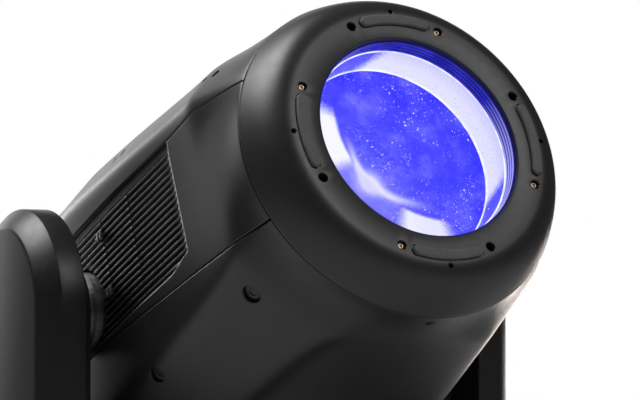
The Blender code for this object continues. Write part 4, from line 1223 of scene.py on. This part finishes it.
BACK = 170.3
sockets = (("power_inlet", -60), ("data_in_socket", 0), ("data_out_socket", 60))
holes = [circle(13.1, 48, x, 60) for _, x in sockets]
piece("connector_panel_plate", prism_mesh("rear_panel", [rounded(-112, 24, 112, 96, 6)] + holes, -BACK - 3, -BACK,
                                          XZ_PLANE, 0.5), BLACK_METAL, "base", ["connector_panel"])
for label, x in sockets:
    flange = prism_mesh("flange", [rounded(x - 16, 44, x + 16, 76, 3), circle(9.6, 48, x, 60),
                                   circle(1.6, 16, x - 12.4, 72.4), circle(1.6, 16, x + 12.4, 47.6)],
                        -BACK - 5.6, -BACK - 3.3, XZ_PLANE, 0.4)
    barrel = turned_mesh("barrel", [(9.6, 7.6), (12.3, 7.6), (12.3, -12), (0, -12), (0, -8), (9.6, -8)], 64, 0.4,
                         False)
    barrel = transformed(barrel, at(x, BACK, 60) @ ALONG_Y)
    pins = []
    count = 3 if label == "power_inlet" else 5
    for k in range(count):
        a = math.radians(-90 + (k - (count - 1) / 2) * (120 if count == 3 else 55))
        pins.append(transformed(turned_mesh("pin", [(0, 3), (1.2, 2.6), (1.2, -8.5), (0, -8.5)], 16, 0.2, False),
                                at(x + 5.2 * math.cos(a), BACK, 60 + 5.2 * math.sin(a)) @ ALONG_Y))
    piece(f"{label}_body", merged(label, [flange, barrel]), BLACK, "base", [label])
    piece(f"{label}_pins", merged("pins", pins), STEEL, "base")

eye = [(126, BACK, 30)]
for i in range(25):
    a = math.radians(90 - 180 * i / 24)
    eye.append((138 - 12 * math.sin(a), BACK + 12 + 12 * math.cos(a), 30))
eye.append((150, BACK, 30))
piece("safety_eye_loop", tube_mesh("eye", eye, 3, 12), STEEL, "base", ["safety_eye"])

# Carried-over CAD pieces
for node, finish in (("head_chassis", ALUMINIUM), ("led_heatsink", ALUMINIUM), ("led_engine", ANODISED),
                     ("colour_wheel", STEEL), ("gobo_wheel", STEEL), ("zoom_carriage", ANODISED),
                     ("focus_carriage", ANODISED), ("tilt_pulley", ALUMINIUM), ("head_fan_left", BLACK),
                     ("head_fan_right", BLACK), ("tilt_motor", BLACK_METAL), ("tilt_motor_pulley", ALUMINIUM),
                     ("tilt_belt", FOOT_RUBBER), ("pan_motor", BLACK_METAL), ("pan_pinion", STEEL),
                     ("pan_ring_gear", STEEL), ("pan_bearing", STEEL), ("pan_lock", STEEL), ("tilt_lock", STEEL),
                     ("power_supply", ALUMINIUM), ("base_fan", BLACK)):
    mesh = frame["nodes"][node].data
    mesh.materials.clear()
    mesh.materials.append(finish)

# ---------------------------------------------------------------- stage, light and camera

bm = bmesh.new()
bmesh.ops.create_circle(bm, cap_ends=True, segments=96, radius=5.0)
floor_mesh = mesh_of("floor", bm)
floor = bpy.data.objects.new("studio_floor", floor_mesh)
bpy.context.scene.collection.objects.link(floor)
floor.location.z = -0.0121
n = Nodes("floor_look")
pale = n.ramp(n.noise(3.0), [(0.3, (0.74, 0.74, 0.74)), (0.7, (0.80, 0.80, 0.80))])
n.link(pale, n.shader.inputs["Base Color"])
n.shader.inputs["Roughness"].default_value = 0.9
n.shader.inputs["Specular IOR Level"].default_value = 0.1
floor_mesh.materials.append(n.material)

world = bpy.data.worlds.new("studio")
bpy.context.scene.world = world
world.use_nodes = True
tree = world.node_tree
tree.nodes.clear()
output = tree.nodes.new("ShaderNodeOutputWorld")
paths = tree.nodes.new("ShaderNodeLightPath")
seen = tree.nodes.new("ShaderNodeBackground")
seen.inputs["Color"].default_value = (1, 1, 1, 1)
seen.inputs["Strength"].default_value = 1.0
fill = tree.nodes.new("ShaderNodeBackground")
fill.inputs["Color"].default_value = (1.0, 0.97, 0.95, 1)
fill.inputs["Strength"].default_value = 0.05
choose = tree.nodes.new("ShaderNodeMixShader")
tree.links.new(paths.outputs["Is Camera Ray"], choose.inputs[0])
tree.links.new(fill.outputs[0], choose.inputs[1])
tree.links.new(seen.outputs[0], choose.inputs[2])
tree.links.new(choose.outputs[0], output.inputs["Surface"])


HEAD_MIDDLE = Vector((0, -0.1, 0.6))


def area_light(name, direction, distance, width, height, radiance, colour=(1, 1, 1), target=HEAD_MIDDLE):
    """A soft panel that faces the target, with its brightness given per unit of its own area."""
    data = bpy.data.lights.new(name, "AREA")
    data.shape = "RECTANGLE"
    data.size = width
    data.size_y = height
    data.energy = radiance * math.pi * width * height
    data.color = colour
    lamp = bpy.data.objects.new(name, data)
    bpy.context.scene.collection.objects.link(lamp)
    lamp.location = target + Vector(direction).normalized() * distance
    lamp.rotation_euler = (target - lamp.location).to_track_quat("-Z", "Y").to_euler()
    lamp.visible_camera = False


area_light("shoulder", (-0.42, 0.38, 0.82), 2.4, 1.5, 1.3, 9.0)
area_light("front", (0.24, -0.70, 0.68), 2.6, 1.4, 1.1, 4.5)
area_light("backdrop_light", (0.30, 0.95, 0.08), 3.0, 3.6, 2.8, 1.15)
area_light("louvre_light", (-0.15, 0.98, 0.12), 2.6, 0.7, 1.1, 5.0)
area_light("warm_low", (0.62, 0.74, -0.24), 2.4, 1.7, 1.0, 4.6, (1.0, 0.88, 0.82))

camera_data = bpy.data.cameras.new("camera")
camera_data.sensor_width = 36.0
camera_data.lens = 168.75
camera_data.clip_start = 0.05
camera_data.clip_end = 100.0
camera = bpy.data.objects.new("camera", camera_data)
bpy.context.scene.collection.objects.link(camera)
CAMERA_OFFSET = Vector((-11.521, -19.416, -1.641))  # from the middle of the face, in pad circle radii
AZIMUTH = math.radians(28.76)
PITCH = math.radians(2.93)
face_centre = HEAD_PLACE @ Vector((0, 0, FRONT * MM))
camera.location = face_centre + CAMERA_OFFSET * (PAD_RADIUS * MM)
forward = Vector((math.sin(AZIMUTH) * math.cos(PITCH), math.cos(AZIMUTH) * math.cos(PITCH), math.sin(PITCH)))
camera.rotation_euler = forward.to_track_quat("-Z", "Y").to_euler()
bpy.context.scene.camera = camera
bpy.context.scene.view_settings.view_transform = "Standard"
